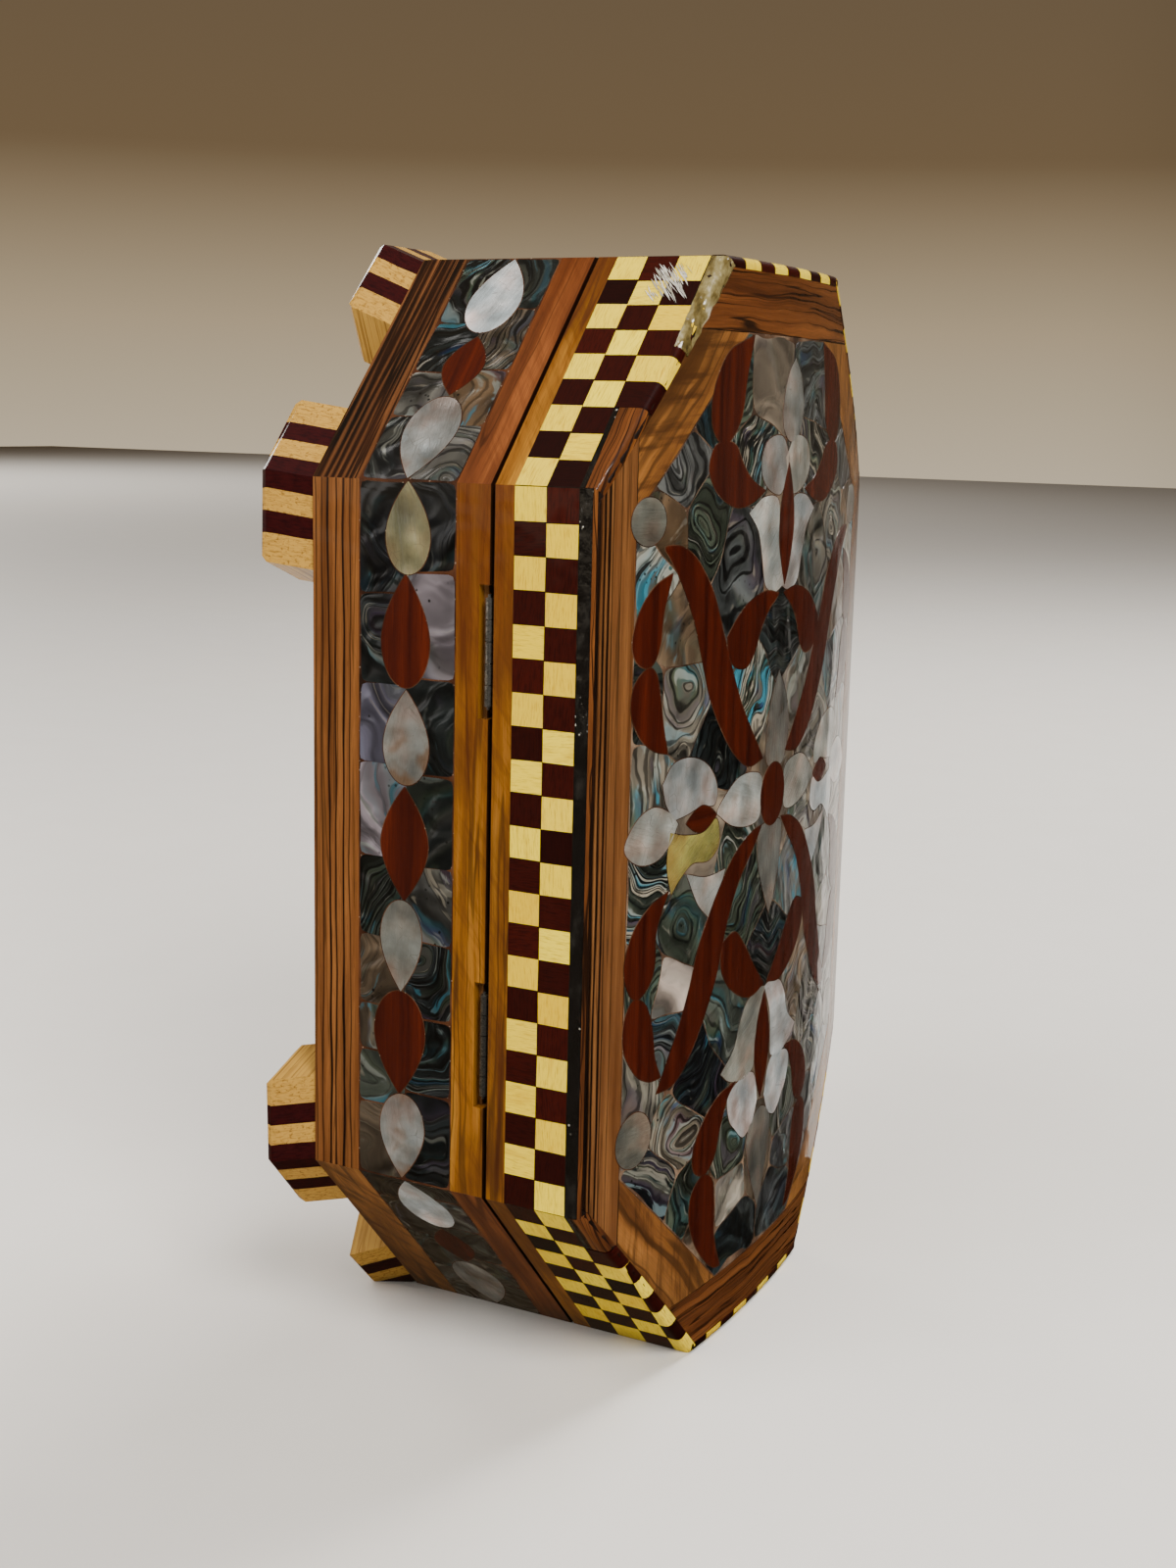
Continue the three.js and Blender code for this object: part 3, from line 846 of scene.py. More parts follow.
# The band of shell round the base.
bandLook = {
    # where each drop starts and ends along the facet, its heights, and which ends are blunt; white or red
    "back": [
        ("white", 134.5, 154.0, 18.5, 29.5, 1, 0, (0.3, 0.1, 0.5, 0.45)),
        ("red", 110.5, 134.5, 17.5, 29.5, 1, 0),
        ("white", 89.5, 110.0, 18.0, 29.5, 1, 0, (0.55, 0.8, 0.1, 0.0)),
        ("red", 64.0, 89.0, 17.5, 29.5, 0, 0),
        ("white", 43.5, 64.0, 17.5, 28.0, 0, 1, (0.5, 0.3, 0.3, 0.0)),
        ("red", 20.0, 43.5, 16.0, 29.0, 0, 1),
        ("white", 0.5, 20.0, 17.5, 29.0, 0, 1, (0.6, 0.8, 0.2, 0.0)),
    ],
    # the same on the shorter sides, as shares of their run
    "short": [
        ("white", 0.01, 0.36, 17.0, 30.0, 0, 1, (0.6, 0.4, 0.3, 0.0)),
        ("red", 0.37, 0.63, 19.0, 29.0, 0, 0),
        ("white", 0.65, 0.995, 17.5, 30.5, 1, 0, (0.95, 0.0, 0.5, 0.0)),
    ],
    # cuts along the back's two rows of backing pieces, and their tone, pitch, line and strength of painted
    # sheen and glints
    "low": [
        (0, 17, .7, .25, .2, .4), (17, 29, .33, .3, .4, .7), (29, 40, .7, .3, .3, .8),
        (40, 55.5, .72, .2, .3, .5), (55.5, 73, .22, .12, .9, .4), (73, 93.5, .98, .3, .3, .8),
        (93.5, 111, 1.0, .3, .15, .4), (111, 130, .12, .25, .5, .7), (130, 154, .02, .3, .5, .2),
    ],
    "high": [
        (0, 21, .1, .25, .8, .4), (21, 38, .12, .14, .9, .5), (38, 55.5, .1, .12, .9, .6),
        (55.5, 72, .5, .4, .3, .7), (72, 92, .14, .5, .2, .4), (92, 113, .13, .5, .2, .3),
        (113, 135, .98, .5, .1, .3), (135, 154, .04, .25, .5, .2),
    ],
    # on the other sides they are drawn from these tones and lengths
    "tones": (0.04, 0.1, 0.15, 0.25, 0.3, 0.35, 0.5, 0.55, 0.7, 0.75), "lengths": (11, 21), "shortest": 7,
    "joint": 0.3, "wave": 1.1, "lowIn": 0.3, "highIn": 0.25, "endIn": 0.15, "halo": 0.2,
}


def drawnCuts(run, rng):
    cuts, t = [], 0.0
    while t < run - 0.1:
        step = min(rng.uniform(*bandLook["lengths"]), run - t)
        if run - t - step < bandLook["shortest"]:
            step = run - t
        tone = rng.choice(bandLook["tones"])
        cuts.append((t, t + step, tone, rng.uniform(0.14, 0.4), rng.uniform(0.5, 1.0), rng.uniform(0.3, 0.9)))
        t += step
    return cuts


def backingPieces(tray, facet, rng):
    run, gap, wave = facet["run"], bandLook["joint"] / 2, bandLook["wave"] * 0.4
    low, high = size["bandLow"] + bandLook["lowIn"], size["bandHigh"] - bandLook["highIn"]
    middle = (size["bandLow"] + size["bandHigh"]) / 2
    first, last = bandLook["endIn"], run - bandLook["endIn"]
    for row, h0, h1 in (("low", low, middle), ("high", middle, high)):
        for t0, t1, *look in bandLook[row] if facet["name"] == "back" else drawnCuts(run, rng):
            lean = rng.uniform(-1.5, 1.5) * 0.4
            a, b = max(t0, first) + gap, min(t1, last) - gap
            topA, topB = a + (lean if t0 > 1 else 0), b - (lean if t1 < run - 1 else 0)
            shape = handCut([(a, h0), (b, h0), (topB, h1), (topA, h1)], wave, 1)
            shape = [(u, min(max(v, low), high)) for u, v in heldOn(facet, shape, first)]
            eye = (rng.uniform(t0 - 5, t1 + 5), rng.uniform(h0 - 8, h1 + 8))
            addPlate(tray, shape, onFacet(facet), look, eye, rng.uniform(0, 3), rng.uniform(0, 50), 0.02)


def dropPieces(whites, reds, halos, facet, rng):
    place, run, long = onFacet(facet), facet["run"], facet["name"] in longSides
    for kind, a, b, v0, v1, blunt0, blunt1, *look in bandLook["back" if long else "short"]:
        if facet["name"] == "front":
            a, b, blunt0, blunt1 = run - b, run - a, blunt1, blunt0
        if not long:
            a, b = a * run, b * run
        shape = heldOn(facet, drop(a, b, v0, v1, blunt0, blunt1), 0.2)
        rim = heldOn(facet, grown(shape, bandLook["halo"]), 0.1)
        middle = ((a + b) / 2, (v0 + v1) / 2)
        addPlate(halos, rim, place, plain, middle, 0, rng.uniform(0, 50), 0.03)
        if kind == "white":
            addPlate(whites, shape, place, look[0], middle, rng.uniform(-0.4, 0.4), rng.uniform(0, 50), 0.045)
        else:
            addPlate(reds, shape, place, plain, middle, 0.0, rng.uniform(0, 50), 0.045)


rng = random.Random(41)
bandShell, bandPearl, bandRed, bandHalo = newTray(), newTray(), newTray(), newTray()
for facet in facets:
    backingPieces(bandShell, facet, rng)
    dropPieces(bandPearl, bandRed, bandHalo, facet, rng)
finishTray("band_abalone", bandShell, bandAbalone, "base")
finishTray("band_joint_lines", bandHalo, jointDark, "base")
finishTray("band_pearl_drops", bandPearl, pearl, "base")
finishTray("band_red_drops", bandRed, redWood, "base")
print("shell band laid")

# The checkers round the lid.
checkerLook = {
    "rows": 7.4, "gap": 0.07, "wrapIn": 2.3, "longColumns": 22, "columns": 9,
    # how uneven the tiles are: each row's shift, each corner's wander, each tile's turn
    "slip": 0.35, "wander": 0.06, "turn": 0.1,
    # how much higher a row goes where it is the last one, and how near the edge a tile needs inner points
    "lastUp": 3.2, "bendFrom": 4.5,
    # how far along a slanting facet each row starts; past the end, the row is left off
    "rowStarts": {"back_upper": (0, 0, 20, 99), "other": (0, 0, 14, 24)},
    # chalky streaks where the resin is bruised: how many, their middle, spread, lengths, widths, and turns
    "streaks": (74, (57.3, 64.6), (4.4, 3.9), (1.8, 6.5), (0.08, 0.34)), "streakTurn": (-0.66, 0.13),
}


def rowStarts(facet):
    return checkerLook["rowStarts"].get(facet["name"], checkerLook["rowStarts"]["other"])


# Distance from the end of a slanting facet that touches a long side.
def fromLong(facet, t):
    return t if facet["name"] in ("back_upper", "front_lower") else facet["run"] - t


# Where a row of tiles ends: at the lid's edge if no further row is laid above it there.
def tileTop(facet, row, t, full):
    edge = edgeEnd(facet, t, checkerLook["wrapIn"])
    slanting = facet["name"] not in shortSides
    isLast = slanting and (row == 3 or fromLong(facet, t) < rowStarts(facet)[row + 1])
    return min(edge, full + checkerLook["lastUp"]) if isLast and row > 1 else min(full, edge)


# The top of a tile follows the lid's edge.
def tileOverEdge(facet, row, shape, s0, s1):
    shape = [(u, tileTop(facet, row, u, s1) if v > s1 - 0.3 else v) for u, v in evenly(shape, 0.5)]
    shape = [(u, max(s0, min(v, tileTop(facet, row, u, s1)))) for u, v in shape]
    return evenly([p for i, p in enumerate(shape) if math.dist(p, shape[i - 1]) > 0.05], 0.8)


def checkerTiles(tray, facet, rng):
    run, g = facet["run"], checkerLook["gap"]
    slide, wander, spin = (checkerLook[key] for key in ("slip", "wander", "turn"))
    straight, slanting = facet["name"] in longSides, facet["name"] not in longSides + shortSides
    columns = checkerLook["longColumns" if straight else "columns"]
    place, pitch = onFacet(facet) if straight else overEdge(facet), run / columns
    first = 1 if facet["name"] in ("back", "front_upper", "back_lower") else 0
    slip = [rng.uniform(-slide, slide) for _ in range(4)]
    for row in range(2 if straight else 4):
        for column in range(columns):
            moves = [rng.uniform(-wander, wander) for _ in range(8)]
            t0 = column * pitch + (slip[row] if column else 0) + g
            t1 = (column + 1) * pitch + (slip[row] if column < columns - 1 else 0) - g
            s0 = size["rowsFrom"] + row * checkerLook["rows"] + g
            s1 = s0 + checkerLook["rows"] - 2 * g
            if slanting and fromLong(facet, (t0 + t1) / 2) < rowStarts(facet)[row]:
                continue
            shape = [(t0, s0), (t1, s0), (t1, s1), (t0, s1)]
            shape = [(u + moves[2 * i], v + moves[2 * i + 1]) for i, (u, v) in enumerate(shape)]
            shape, fine = heldOn(facet, shape, 0.12), 0
            if not straight:
                if max(tileTop(facet, row, u, s1) for u, _ in shape) < s0 + 0.6:
                    continue
                edge = min(edgeEnd(facet, u, checkerLook["wrapIn"]) for u, _ in shape)
                if edge < s1 + checkerLook["bendFrom"]:
                    fine, shape = 0.7, tileOverEdge(facet, row, shape, s0, s1)
            isDark = float((column + row + first) % 2)
            look = (isDark, rng.random(), rng.uniform(0, 0.35) if straight else rng.uniform(0.1, 0.6), 0)
            turn = rng.choice((0.0, 0.0, math.pi / 2)) + rng.uniform(-spin, spin)
            seed, lift = rng.uniform(0, 80), 0.14 if fine else 0.02
            addPlate(tray, shape, place, look, (t0, s0), turn, seed, lift, 0.5, fine)


rng = random.Random(7)
tiles = newTray()
for facet in facets:
    checkerTiles(tiles, facet, rng)
finishTray("lid_checker_tiles", tiles, checker, "lid")

# Dark resin above the tiles of the long sides, wood over the edge, a clear bead at the upper corner.
resinLook = {
    "above": 0.1, "longTop": 2.9, "longIn": 0.5, "slantTop": 1.1, "slantIn": 2.3,
    "clearFrom": 38.5, "clearIn": 2.8, "clearness": 0.85, "haze": (0.35, 0.95),
}


# A band on a facet from height low to a height, or to a distance in over the lid's edge.
def edgeBand(facet, first, last, low, high=None, into=0.0):
    count = max(2, round(last - first))
    steps = [first + (last - first) * i / count for i in range(count + 1)]
    upper = [(t, high or edgeEnd(facet, t, into)) for t in reversed(steps)]
    return evenly([(t, low) for t in steps] + upper, 0.9)


# Where along a facet the third row is missing, to the half tile; on a long side that is all of it.
def bareStretch(facet):
    run, start, columns = facet["run"], rowStarts(facet)[2], checkerLook["columns"]
    if facet["name"] in longSides:
        return 0.1, run - 0.1
    end = math.ceil(start / (run / columns)) * run / columns
    end -= run / (2 * columns) if end - start > run / (2 * columns) else 0
    return (0.1, end) if fromLong(facet, 0) == 0 else (run - end, run - 0.1)


# Short curved strokes of chalk in the resin at the upper corner.
def streakPieces(tray, facet, rng):
    count, middle, spread, lengths, widths = checkerLook["streaks"]
    lean, sway = checkerLook["streakTurn"]
    for _ in range(count):
        t, h = (c + rng.uniform(-1, 1) * w for c, w in zip(middle, spread))
        half, wide = rng.uniform(*lengths) / 2, rng.uniform(*widths) / 2
        turn = lean + rng.uniform(-sway, sway)
        c, d = math.cos(turn), math.sin(turn)
        upper = [(-half, 0, 1), (-half * 0.3, wide), (half * 0.4, wide * 0.7)]
        stroke = upper + [(half, 0, 1), (half * 0.2, -wide), (-half * 0.5, -wide * 0.6)]
        shape = curved([(t + u * c - v * d, h + u * d + v * c, *sharp) for u, v, *sharp in stroke], 3)
        shape = [(min(u, facet["run"] - 0.3), min(v, edgeEnd(facet, t, 1.5))) for u, v in shape]
        look = (1, rng.uniform(*resinLook["haze"]), 0, 0)
        addPlate(tray, shape, overEdge(facet), look, (0, 0), 0, 0, 0.2, 0.3)


edges, edgeWood = newTray(), newTray()
thirdRow = size["rowsFrom"] + 2 * checkerLook["rows"] + resinLook["above"]
for facet in facets:
    place, kind = overEdge(facet), "long" if facet["name"] in longSides else "slant"
    if facet["name"] not in shortSides:
        first, last = bareStretch(facet)
        top = thirdRow + resinLook[kind + "Top"]
        band = edgeBand(facet, first, last, thirdRow, top)
        addPlate(edges, band, place, plain, (0, 60), 0, 4.0, 0.08, 0.5, 1.0, 0.12)
        wood = edgeBand(facet, first, last, top + 0.05, into=resinLook[kind + "In"])
        addPlate(edgeWood, wood, place, plain, (0, top - 3.5), 0, 6.0, 0.08, 0.5, 0.9)
    if facet["name"] == "back_upper":
        low, look = thirdRow + checkerLook["rows"] + 0.2, (resinLook["clearness"], 0, 0, 0)
        bead = edgeBand(facet, resinLook["clearFrom"], facet["run"] - 0.2, low, into=resinLook["clearIn"])
        addPlate(edges, bead, place, look, (0, 60), 0, 9.0, 0.25, 0.5, 0.8, 0.4)
streakPieces(edges, facets[1], rng)
finishTray("lid_edge_wood", edgeWood, endStripWood, "lid")
finishTray("lid_edge_resin", edges, resin, "lid")
print("checkers and edge laid")

# The strips round the mosaic.
stripLook = {"edgeIn": 2.1, "longEdgeIn": 0.45, "joint": 0.12, "grid": 4.0}


def mosaicShape():
    y, end, length = size["mosaicHalf"], size["mosaicCornerFromEnd"], size["length"]
    middle, low = size["mosaicCornerFromMiddle"], size["mosaicEnd"]
    left = [(-middle, low), (-y, end), (-y, length - end), (-middle, length - low)]
    return left[1:] + [(-u, v) for u, v in reversed(left)] + left[:1]


# A strip of a straight side runs between its slanting neighbours, whose strips fill the corners.
def stripOutline(index):
    facet, before, after = facets[index], facets[index - 1], facets[(index + 1) % 8]
    if index % 2:
        near, far = stripOutline(index - 1)[2], stripOutline((index + 1) % 8)[3]
        corners = mosaicShape()
        return [near, far, corners[(index + 1) % 8], corners[index]]
    wide = size["mosaicEnd"] if index % 4 else size["halfWidth"] - size["mosaicHalf"]

    def inner(corner, direction):
        k = wide / abs(facet["out"].dot(direction))
        return (corner[0] + direction.x * k, corner[1] + direction.y * k)
    a, b = outline[index], outline[(index + 1) % 8]
    return [a, b, inner(b, after["along"]), inner(a, -before["along"])]


for index, facet in enumerate(facets):
    shape = stripOutline(index)
    for other in facets:
        into = stripLook["longEdgeIn" if other["name"] in longSides else "edgeIn"]
        shape = cut(shape, other["start"] - other["out"] * into, other["out"])
    middle, strip = middleOf(shape), newTray()
    shape = evenly(grown(evenly(shape, 3.0), -stripLook["joint"]), 2.0)
    turn = math.atan2(facet["along"].y, facet["along"].x)
    addPlate(strip, shape, onVault, plain, middle, turn, 3.0 + index * 5.7, 0.03, 0.6, stripLook["grid"])
    wood = cornerStripWood if index % 2 else endStripWood if index % 4 else longStripWood
    slot = "olive_wood" if index % 2 else "striped_wood"
    finishTray("lid_strip_" + facet["name"], strip, wood, "lid")
print("lid strips laid")

# The mosaic on the lid's top.
mosaicLook = {
    "joint": 0.3, "wave": 1.5, "grid": 4.0, "halo": 0.22, "eyeLook": (0.4, 0.2, 0.0, 0.05),
    "leaning": (160, 0.045),  # where the right half starts to lean outward, and by how much
}

# Backing pieces: y, z, tone, pitch, line, strength of painted sheen and glints, eye y, eye z. Each is laid on
# both sides, but for oneSide.
backing = [
    (-39.5, 193.5, .3, .17, .9, .5, -39.5, 193.5), (-24, 184, .42, .45, .9, .4, -26, 187),
    (-18, 210, .12, .14, .9, .9, -60, 250), (-13, 224, .8, .6, .1, .1, -13, 200),
    (-48, 156, .62, .22, .8, .9, -46, 158), (-48, 171, .73, .4, .3, .4, -30, 150),
    (-60, 140, .64, .3, .7, .9, -120, 140), (-30, 141, .12, .2, .9, .4, -30, 141),
    (-14, 152, .3, .17, .9, 1.4, -55, 185), (-60, 117, .22, .15, .9, 1.1, -50, 130),
    (-44, 104, .28, .24, .7, .5, -44, 105), (-48, 92, .93, .6, .1, .2, -20, 120),
    (-48, 81, .42, .15, .9, .6, -30, 115), (-21, 80, .34, .28, .7, .6, -10, 100),
    (-34, 69, .05, .14, .9, .4, -50, 90), (-43, 57, .66, .18, .8, .9, -39, 55.5),
    (-51, 46, .04, .3, .6, .7, -40, 70), (-17, 46, .3, .16, .8, .7, -17, 46),
    (-17, 34, .86, .5, .2, .5, -30, 60), (-15, 24, .1, .35, .6, .2, -20, 10),
    (-49, 205, .48, .2, .8, .3, -52, 208), (-40, 222, .14, .25, .8, .2, -60, 200),
    (-54, 193, .75, .5, .2, .3, -40, 180), (-60, 186, .4, .22, .5, 1.7, -80, 200),
    (-21, 123, .3, .2, .6, 1.0, -21, 118), (-11, 109, .3, .16, .9, .4, -25, 120),
    (-61, 70, .6, .25, .7, .5, -100, 70), (-30, 33, .72, .4, .3, .2, -30, 50),
    (-32, 128, .8, .5, .1, .2, -30, 100), (-58, 95, .3, .2, .8, .4, -50, 90),
    (-38, 40, .3, .2, .8, .4, -30, 45), (-60, 157, .2, .25, .8, .3, -60, 150),
    (-26, 222, .3, .2, .8, .4, -26, 240),
]
middleBacking = [
    (3, 168, .14, .12, .95, .2, 3, 240), (2, 91, .12, .14, .9, .3, 6, 118),
    (18, 222, .42, .16, .9, .4, 22, 212), (14, 151, .64, .35, .3, .8, 30, 150),
    (12, 109, .5, .3, .5, .9, 30, 100), (0, 40, .7, .4, .2, .2, 0, 60), (0, 140, .7, .4, .2, .2, 0, 160),
    (2, 118, .8, .4, .2, .2, 0, 160), (-1, 66, .7, .4, .2, .2, 0, 60), (0, 190, .7, .4, .2, .2, 0, 60),
]
oneSide = [(-26, 222), (-13, 224), (-14, 152), (-11, 109)]

# Red wood and pale shell shapes of the left half, as points on the lid; both are mirrored.
redShapes = [
    [(-20, 234, 1), (-23, 225), (-25, 216.5), (-30, 211.3), (-34, 211), (-37.5, 214), (-38.2, 219),
     (-36, 225), (-31, 230.5)],
    [(-38.5, 206), (-36.5, 210), (-32, 211.2), (-27, 210.3), (-23, 206), (-18, 202.5),
     (-11.5, 200.3, 1), (-18, 197.8), (-26, 197), (-33, 199.3), (-37, 202.5)],
    [(-54.5, 189.5), (-49, 189.5), (-43, 187), (-37.5, 182), (-34, 177.5), (-30, 170), (-25, 161),
     (-20, 153), (-14, 146), (-7, 138.5, 1), (-15, 137.8), (-23, 142), (-30, 149), (-35, 156),
     (-39, 165), (-42, 172), (-45.5, 178), (-49, 183), (-52.5, 187)],
    [(-51.5, 184, 1), (-58, 181.5), (-63, 176.5), (-65.2, 170), (-63, 165.8), (-58.5, 165),
     (-55.5, 169), (-54.5, 176)],
    [(-59.5, 164.6), (-64, 161.5), (-65, 156), (-62, 150.5), (-57, 147), (-51.5, 145.5, 1),
     (-53.5, 152), (-54.8, 158), (-56.5, 163)],
    [(-28, 168.5, 1), (-24, 172), (-18, 175.5), (-9, 177.5), (-1, 176.5, 1), (-7, 173), (-11, 169),
     (-14, 164), (-18, 161), (-23.5, 161.5), (-27, 164.5)],
    [(-49.5, 115, 1), (-56, 113), (-62, 108.5), (-65, 101.5), (-63.5, 95.5), (-60, 93), (-55.8, 95.5),
     (-54, 100), (-54, 106), (-52, 111)],
    [(-61.5, 93), (-64.5, 89), (-64.5, 82.5), (-60, 76), (-55, 73.2), (-50.5, 73, 1), (-53, 78),
     (-54.3, 85), (-57, 91)],
    [(-6, 122.5, 1), (-13, 121.3), (-21, 117.5), (-27, 112), (-32, 106), (-36.5, 99), (-39.5, 91),
     (-43.5, 83), (-48, 76), (-52, 69.5, 1), (-45, 70), (-39, 74.5), (-33, 82), (-28, 90),
     (-25.5, 96.5), (-23, 103), (-18, 111), (-11, 117.5)],
    [(-25, 98, 1), (-19, 99.3), (-13.5, 95), (-8, 89), (-1, 82.5, 1), (-9, 81.3), (-17, 84),
     (-23, 88.5), (-25.5, 93)],
    [(-15.5, 62, 1), (-24, 61), (-31, 57), (-35.3, 51.5), (-35, 46), (-30, 43.6), (-25.3, 46.5),
     (-22.8, 53), (-19.5, 59)],
    [(-31, 43.4), (-35.8, 40), (-36, 33), (-32, 25.5), (-25, 19), (-20.5, 17.5, 1), (-24, 26),
     (-24.5, 35), (-26, 41)],
]


def lengthwise(shape):
    return [(v, u) for u, v in shape]


# Along the middle two lenses and a round, and a small lens on either side of the round.
redMiddle = [
    lengthwise(drop(178.5, 206.3, -2.5, 6.5, 0, 0)), lengthwise(drop(53.5, 80.3, -5.0, 4.2, 0, 0)),
    ellipse(0, 129, 7.3, 7.5),
]
redDots = [drop(y - 6.6, y + 6.6, 126.0, 132.0, 0, 0) for y in (-36.7, 36.7)]
pearlShapes = [
    [(-19.5, 195.5, 1), (-12, 198.8), (-3.5, 197.8), (-2.5, 188), (1.5, 178.5, 1), (-4, 177),
     (-9.5, 179), (-12, 186), (-14.5, 191.5)],
    [(-7.5, 212.4), (-2, 212), (2.2, 207.5, 1), (0.5, 203), (-2.5, 199.4), (-8, 200), (-12.5, 202.6),
     (-14, 206.5), (-12, 210.6)],
    [(-53, 139, 1), (-49, 143), (-42, 143.5), (-35, 141), (-30.5, 136), (-31, 131.5), (-37, 132),
     (-43, 131), (-48, 130.5, 1), (-51.5, 134.5)],
    [(-66, 127), (-62, 132.5), (-56, 134.5), (-50, 132.5), (-46.5, 129.5, 1), (-50, 125), (-55, 122.5),
     (-61.5, 123)],
    [(-49.5, 128, 1), (-44, 126.5), (-36, 125.8), (-30, 128), (-28.5, 122), (-33, 119), (-40, 119.5),
     (-45, 117), (-48.5, 114, 1), (-50.5, 121)],
    [(-42.5, 117.5, 1), (-34, 115.3), (-25, 115.5, 1), (-28.5, 109), (-32.5, 105.8, 1), (-37.5, 110)],
    [(-29.5, 130), (-22, 135), (-15, 136.2), (-7.5, 134.5), (-7, 129), (-8, 124.5), (-14, 123.6),
     (-22, 125), (-28, 128)],
    [(-23.5, 66, 1), (-17, 70.5), (-14, 76.5), (-10, 80.6), (-3, 82), (0.3, 81.5, 1), (-4, 74),
     (-5, 66), (-6, 62.5), (-12, 61.4), (-19, 63)],
    [(-19.5, 58.5), (-16, 61), (-8, 62), (-4.2, 60), (-2.2, 53.5, 1), (-5, 48.5), (-10, 46.3),
     (-15, 50), (-18, 53)],
]
yellowPetal = {"index": 4, "look": (0.52, 0.1, 0.2, 1.36)}  # the left one of its pair
pearlMiddle = [
    ([(3.5, 230, 1), (8, 225.5), (10, 218), (7.5, 212.6), (2, 211.2), (-2, 214), (-3, 219),
      (-0.5, 226)], 0.55),
    ([(1, 158.5, 1), (-3, 152), (-5.5, 143), (-4.5, 137), (0.5, 135.5), (6, 136.5), (8.8, 144),
      (6.5, 151.5)], 0.4),
    ([(-7.5, 121.5), (0, 122.5), (6.3, 121), (5.8, 112), (3, 104), (0.5, 99.7, 1), (-4, 106.5),
      (-7.5, 114)], 0.45),
    ([(-7.5, 46), (-4, 49.5), (0, 51), (4, 49.5), (7, 46), (6, 38), (3, 30), (0.5, 25, 1), (-4, 33),
      (-7, 40)], 0.35),
]
eyes = [(-60.5, 195.0, 6.0, 5.0), (-60.0, 61.0, 6.3, 6.3)]


# A shape and its mirror image, which leans outward towards the upper end.
def bothSides(shape):
    start, by = mosaicLook["leaning"]
    return shape, [(y + max(0.0, z - start) * by, z, *sharp) for y, z, *sharp in mirrored(shape)]


region = [(p[0] * 0.996, 125 + (p[1] - 125) * 0.997) for p in mosaicShape()]
rng = random.Random(19)
centres = []
for centre in backing:
    y, z, tone, pitch, lines, paintedSheenStrength, eyeY, eyeZ = centre
    centres.append(centre)
    if (y, z) not in oneSide:
        aside, along = rng.uniform(-2, 2), rng.uniform(-2, 2)
        otherTone = rng.choice((tone, tone, 0.12, 0.45, 0.62, 0.72))
        otherEye = (-eyeY, eyeZ + rng.uniform(-6, 6))
        centres.append((aside - y, z + along, otherTone, pitch, lines, paintedSheenStrength, *otherEye))
centres += middleBacking
lidShell = newTray()
for c, shape in zip(centres, shares(region, centres, mosaicLook["joint"])):
    if len(shape) > 2:
        piece = handCut(shape, mosaicLook["wave"])
        for a, b in zip(region, region[1:] + region[:1]):
            edge = (Vector(b) - Vector(a)).normalized()
            piece = cut(piece, a, (-edge.y, edge.x))
        turn, seed = rng.uniform(-0.3, 0.3), rng.uniform(0, 90)
        addPlate(lidShell, piece, onVault, c[2:6], c[6:8], turn, seed, 0.03, 0.5, mosaicLook["grid"])
finishTray("lid_abalone", lidShell, lidAbalone, "lid")
print("lid backing laid:", len(centres), "pieces")

lidPearl, lidRed, lidHalo = newTray(), newTray(), newTray()


# A piece of the ornament, with a dark joint showing round it.
def layShape(tray, shape, look, turn, lift=0.07):
    middle, grid = middleOf(shape), mosaicLook["grid"]
    addPlate(lidHalo, grown(shape, mosaicLook["halo"]), onVault, plain, middle, 0, 0, lift - 0.015, 0.4, grid)
    addPlate(tray, shape, onVault, look, middle, turn, rng.uniform(0, 90), lift, 0.5, grid)


def pearlValues(tone=None):
    tone = rng.uniform(0.6, 1.0) if tone is None else tone
    return (tone, rng.choice((0.0, 0.1, 0.4)), rng.uniform(0.1, 0.7), rng.choice((0.0, 0.0, 0.2)))


for index, shape in enumerate(pearlShapes):
    for side in bothSides(shape):
        isYellow = index == yellowPetal["index"] and side is shape
        look = yellowPetal["look"] if isYellow else pearlValues()
        layShape(lidPearl, curved(side), look, rng.uniform(0, 3))
for shape, tone in pearlMiddle:
    layShape(lidPearl, curved(shape), pearlValues(tone), 1.5)
for y, z, ry, rz in eyes:
    for side in (1, -1):
        layShape(lidPearl, ellipse(side * y, z, ry, rz), mosaicLook["eyeLook"], 0.0)
for shape in redShapes:
    for side in bothSides(shape):
        layShape(lidRed, curved(side), plain, math.pi / 2, 0.1)
for shape in redMiddle:
    layShape(lidRed, shape, plain, math.pi / 2, 0.1)
for shape in redDots:
    layShape(lidRed, shape, plain, 0.0, 0.1)
finishTray("lid_joint_lines", lidHalo, jointDark, "lid")
finishTray("lid_pearl_petals", lidPearl, pearl, "lid")
finishTray("lid_red_inlay", lidRed, redWood, "lid")
print("lid inlay laid")

# The floor beside and before the box isn't mirrored in the lacquer, which would turn milky all over.
stageLook = {
    "floor": (214, 210, 204), "clouds": (186, 180, 170),
    "behind": [(0.048, 0.1), (0.05, 0.19), (0.086, 0.65), (0.5, 6.4), (-6, 6.4), (-6, 0.1)],
    "beside": [(0.048, 0.1), (-6, 0.1), (-6, -6), (6, -6), (6, 6.4), (0.5, 6.4), (0.086, 0.65), (0.05, 0.19)],
    # the world's tone by the height of the direction
    "world": [
        (0.24, (0.09, 0.065, 0.04, 1.0)), (0.25, (0.66, 0.56, 0.41, 1.0)), (0.34, (0.46, 0.36, 0.23, 1.0)),
        (0.42, (0.17, 0.115, 0.06, 1.0)), (0.6, (0.13, 0.095, 0.06, 1.0)),
    ],
    "horizon": 0.3, "rightSide": 0.2,
}


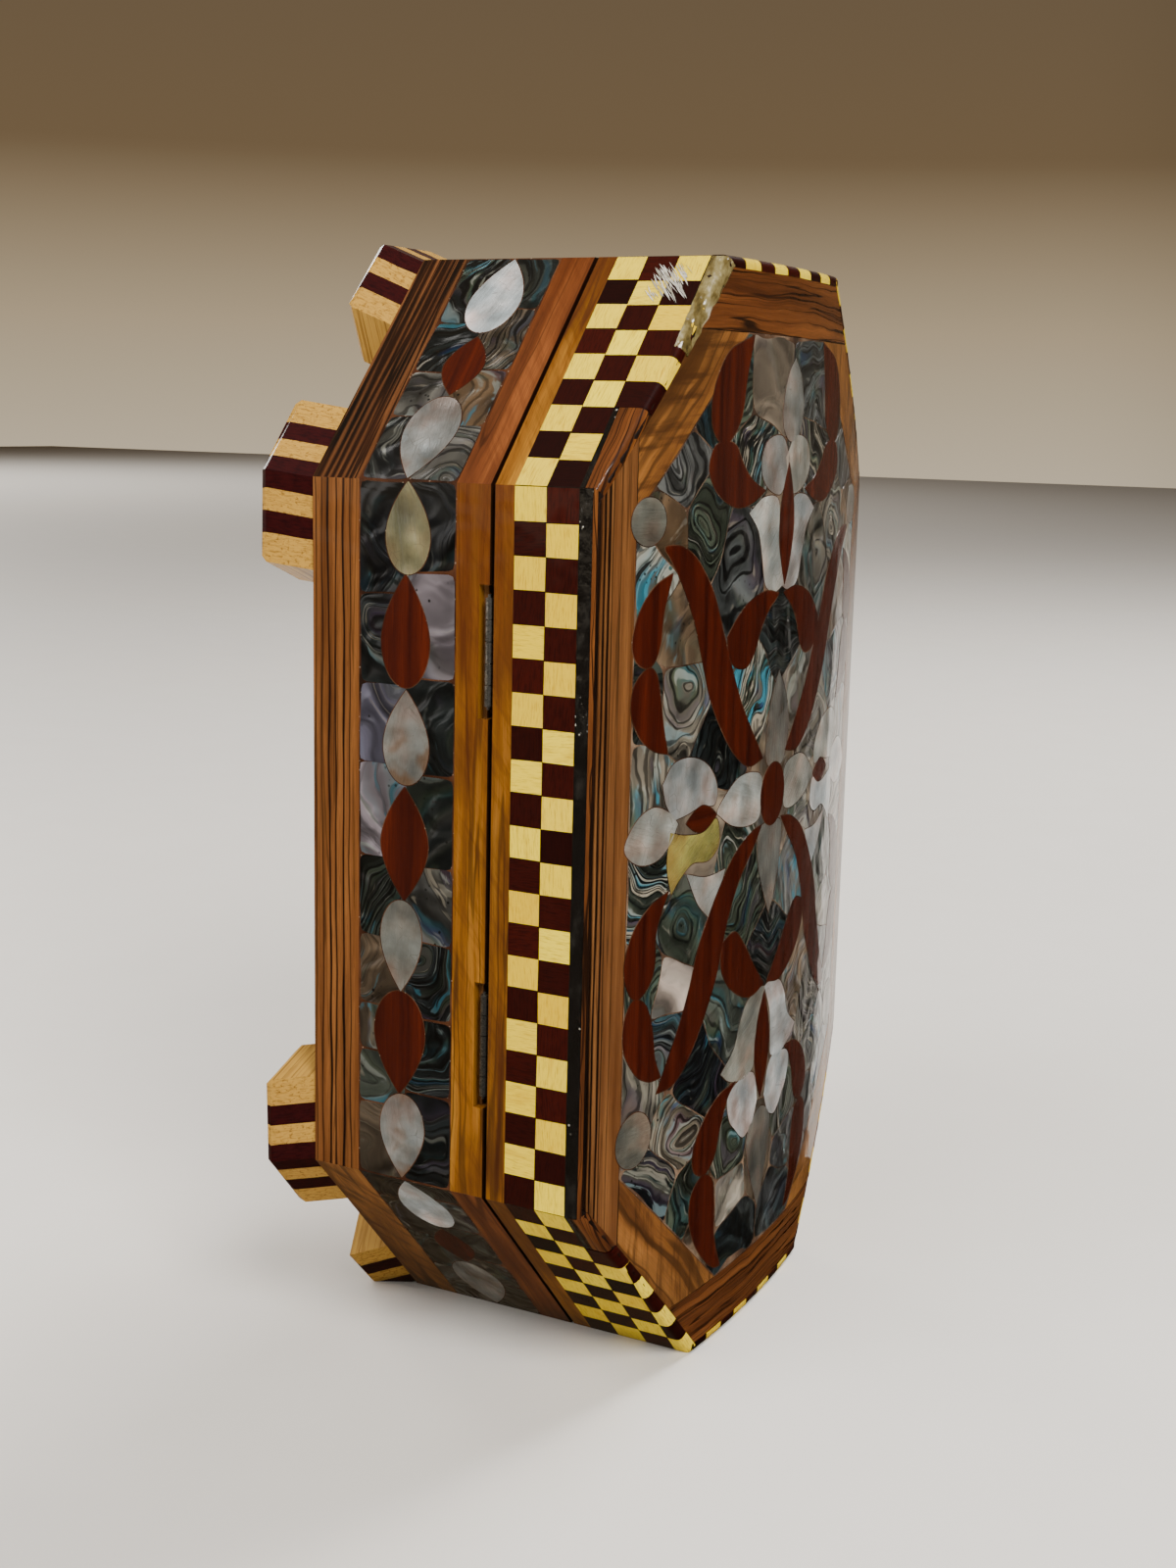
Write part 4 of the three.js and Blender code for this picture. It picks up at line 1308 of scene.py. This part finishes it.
def makeStage():
    material, shader = newMaterial("paleFloor", Roughness=0.55)
    clouds = fade(noiseAt(objectPlace(), 30.0, 4), 0.3, 0.7, 0.0, 0.06)
    wire(shader.inputs["Base Color"], blend(clouds, stageLook["floor"], stageLook["clouds"]))
    for name in ("behind", "beside"):
        corners = stageLook[name]
        mesh = bpy.data.meshes.new("floor_" + name)
        mesh.from_pydata([(x, y, 0) for x, y in corners], [], [tuple(range(len(corners)))])
        mesh.materials.append(material)
        floor = bpy.data.objects.new("floor_" + name, mesh)
        floor.visible_glossy = name == "behind"
        bpy.context.scene.collection.objects.link(floor)
        floor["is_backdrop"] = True
    world = bpy.data.worlds.new("studio")
    bpy.context.scene.world = world
    world.use_nodes = True
    bench["tree"] = world.node_tree
    background = world.node_tree.nodes["Background"].inputs
    sideways, _, height = split(fieldOf("TexCoord", out="Generated"))
    wire(background[0], ramp(height + stageLook["horizon"], stageLook["world"]))
    wire(background[1], fade(sideways, -0.25, 0.05, 1.0, stageLook["rightSide"]))


lights = {
    # azimuth, elevation, distance, size, power, tint, the point it is aimed at
    "key": (48, 42, 1.3, 0.5, 24.0, (1.0, 0.97, 0.93), (0, 0, 0.12)),
    "fill": (-50, 20, 1.6, 1.0, 8.0, (1.0, 0.97, 0.94), (0, 0, 0.12)),
    "top": (-20, 50, 1.4, 0.6, 12.0, (1.0, 0.97, 0.93), (0, 0, 0.12)),
    "behind": (90, 78, 1.53, 0.6, 46.0, (1.0, 0.98, 0.95), (-0.05, 1.0, 0)),
    "far": (274, 35, 3.45, 1.6, 110.0, (1.0, 0.97, 0.92), (-1.5, 3.2, 0)),
}


# The direction of an azimuth and an elevation, from the aim towards the viewer.
def awayFrom(a, e):
    return Vector((math.sin(a) * math.cos(e), -math.cos(a) * math.cos(e), math.sin(e)))


def addLight(name, azimuth, elevation, distance, across, power, tint, aim):
    away = awayFrom(math.radians(azimuth), math.radians(elevation))
    data = bpy.data.lights.new(name, "AREA")
    data.size, data.energy, data.color = across, power, tint
    light = bpy.data.objects.new(name, data)
    light.location = Vector(aim) + away * distance
    light.rotation_mode = "QUATERNION"
    light.rotation_quaternion = away.to_track_quat("Z", "Y")
    bpy.context.scene.collection.objects.link(light)


cameraView = {
    "place": (0.21194, -0.42577, 0.21743), "azimuth": 26.99, "elevation": 10.84, "roll": 1.319, "lens": 44.95,
}


def addCamera():
    a, e, roll = (math.radians(cameraView[k]) for k in ("azimuth", "elevation", "roll"))
    back, level = awayFrom(a, e), Vector((math.cos(a), math.sin(a), 0))
    upright = back.cross(level)
    right = level * math.cos(roll) + upright * math.sin(roll)
    up = upright * math.cos(roll) - level * math.sin(roll)
    data = bpy.data.cameras.new("camera")
    data.lens, data.sensor_width = cameraView["lens"], 36.0
    camera = bpy.data.objects.new("camera", data)
    turn = Matrix((right, up, back)).transposed().to_4x4()
    camera.matrix_world = Matrix.Translation(cameraView["place"]) @ turn
    bpy.context.scene.collection.objects.link(camera)
    bpy.context.scene.camera = camera


makeStage()
for name, values in lights.items():
    addLight(name, *values)
addCamera()
print("stage, lights and camera set")

low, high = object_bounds()
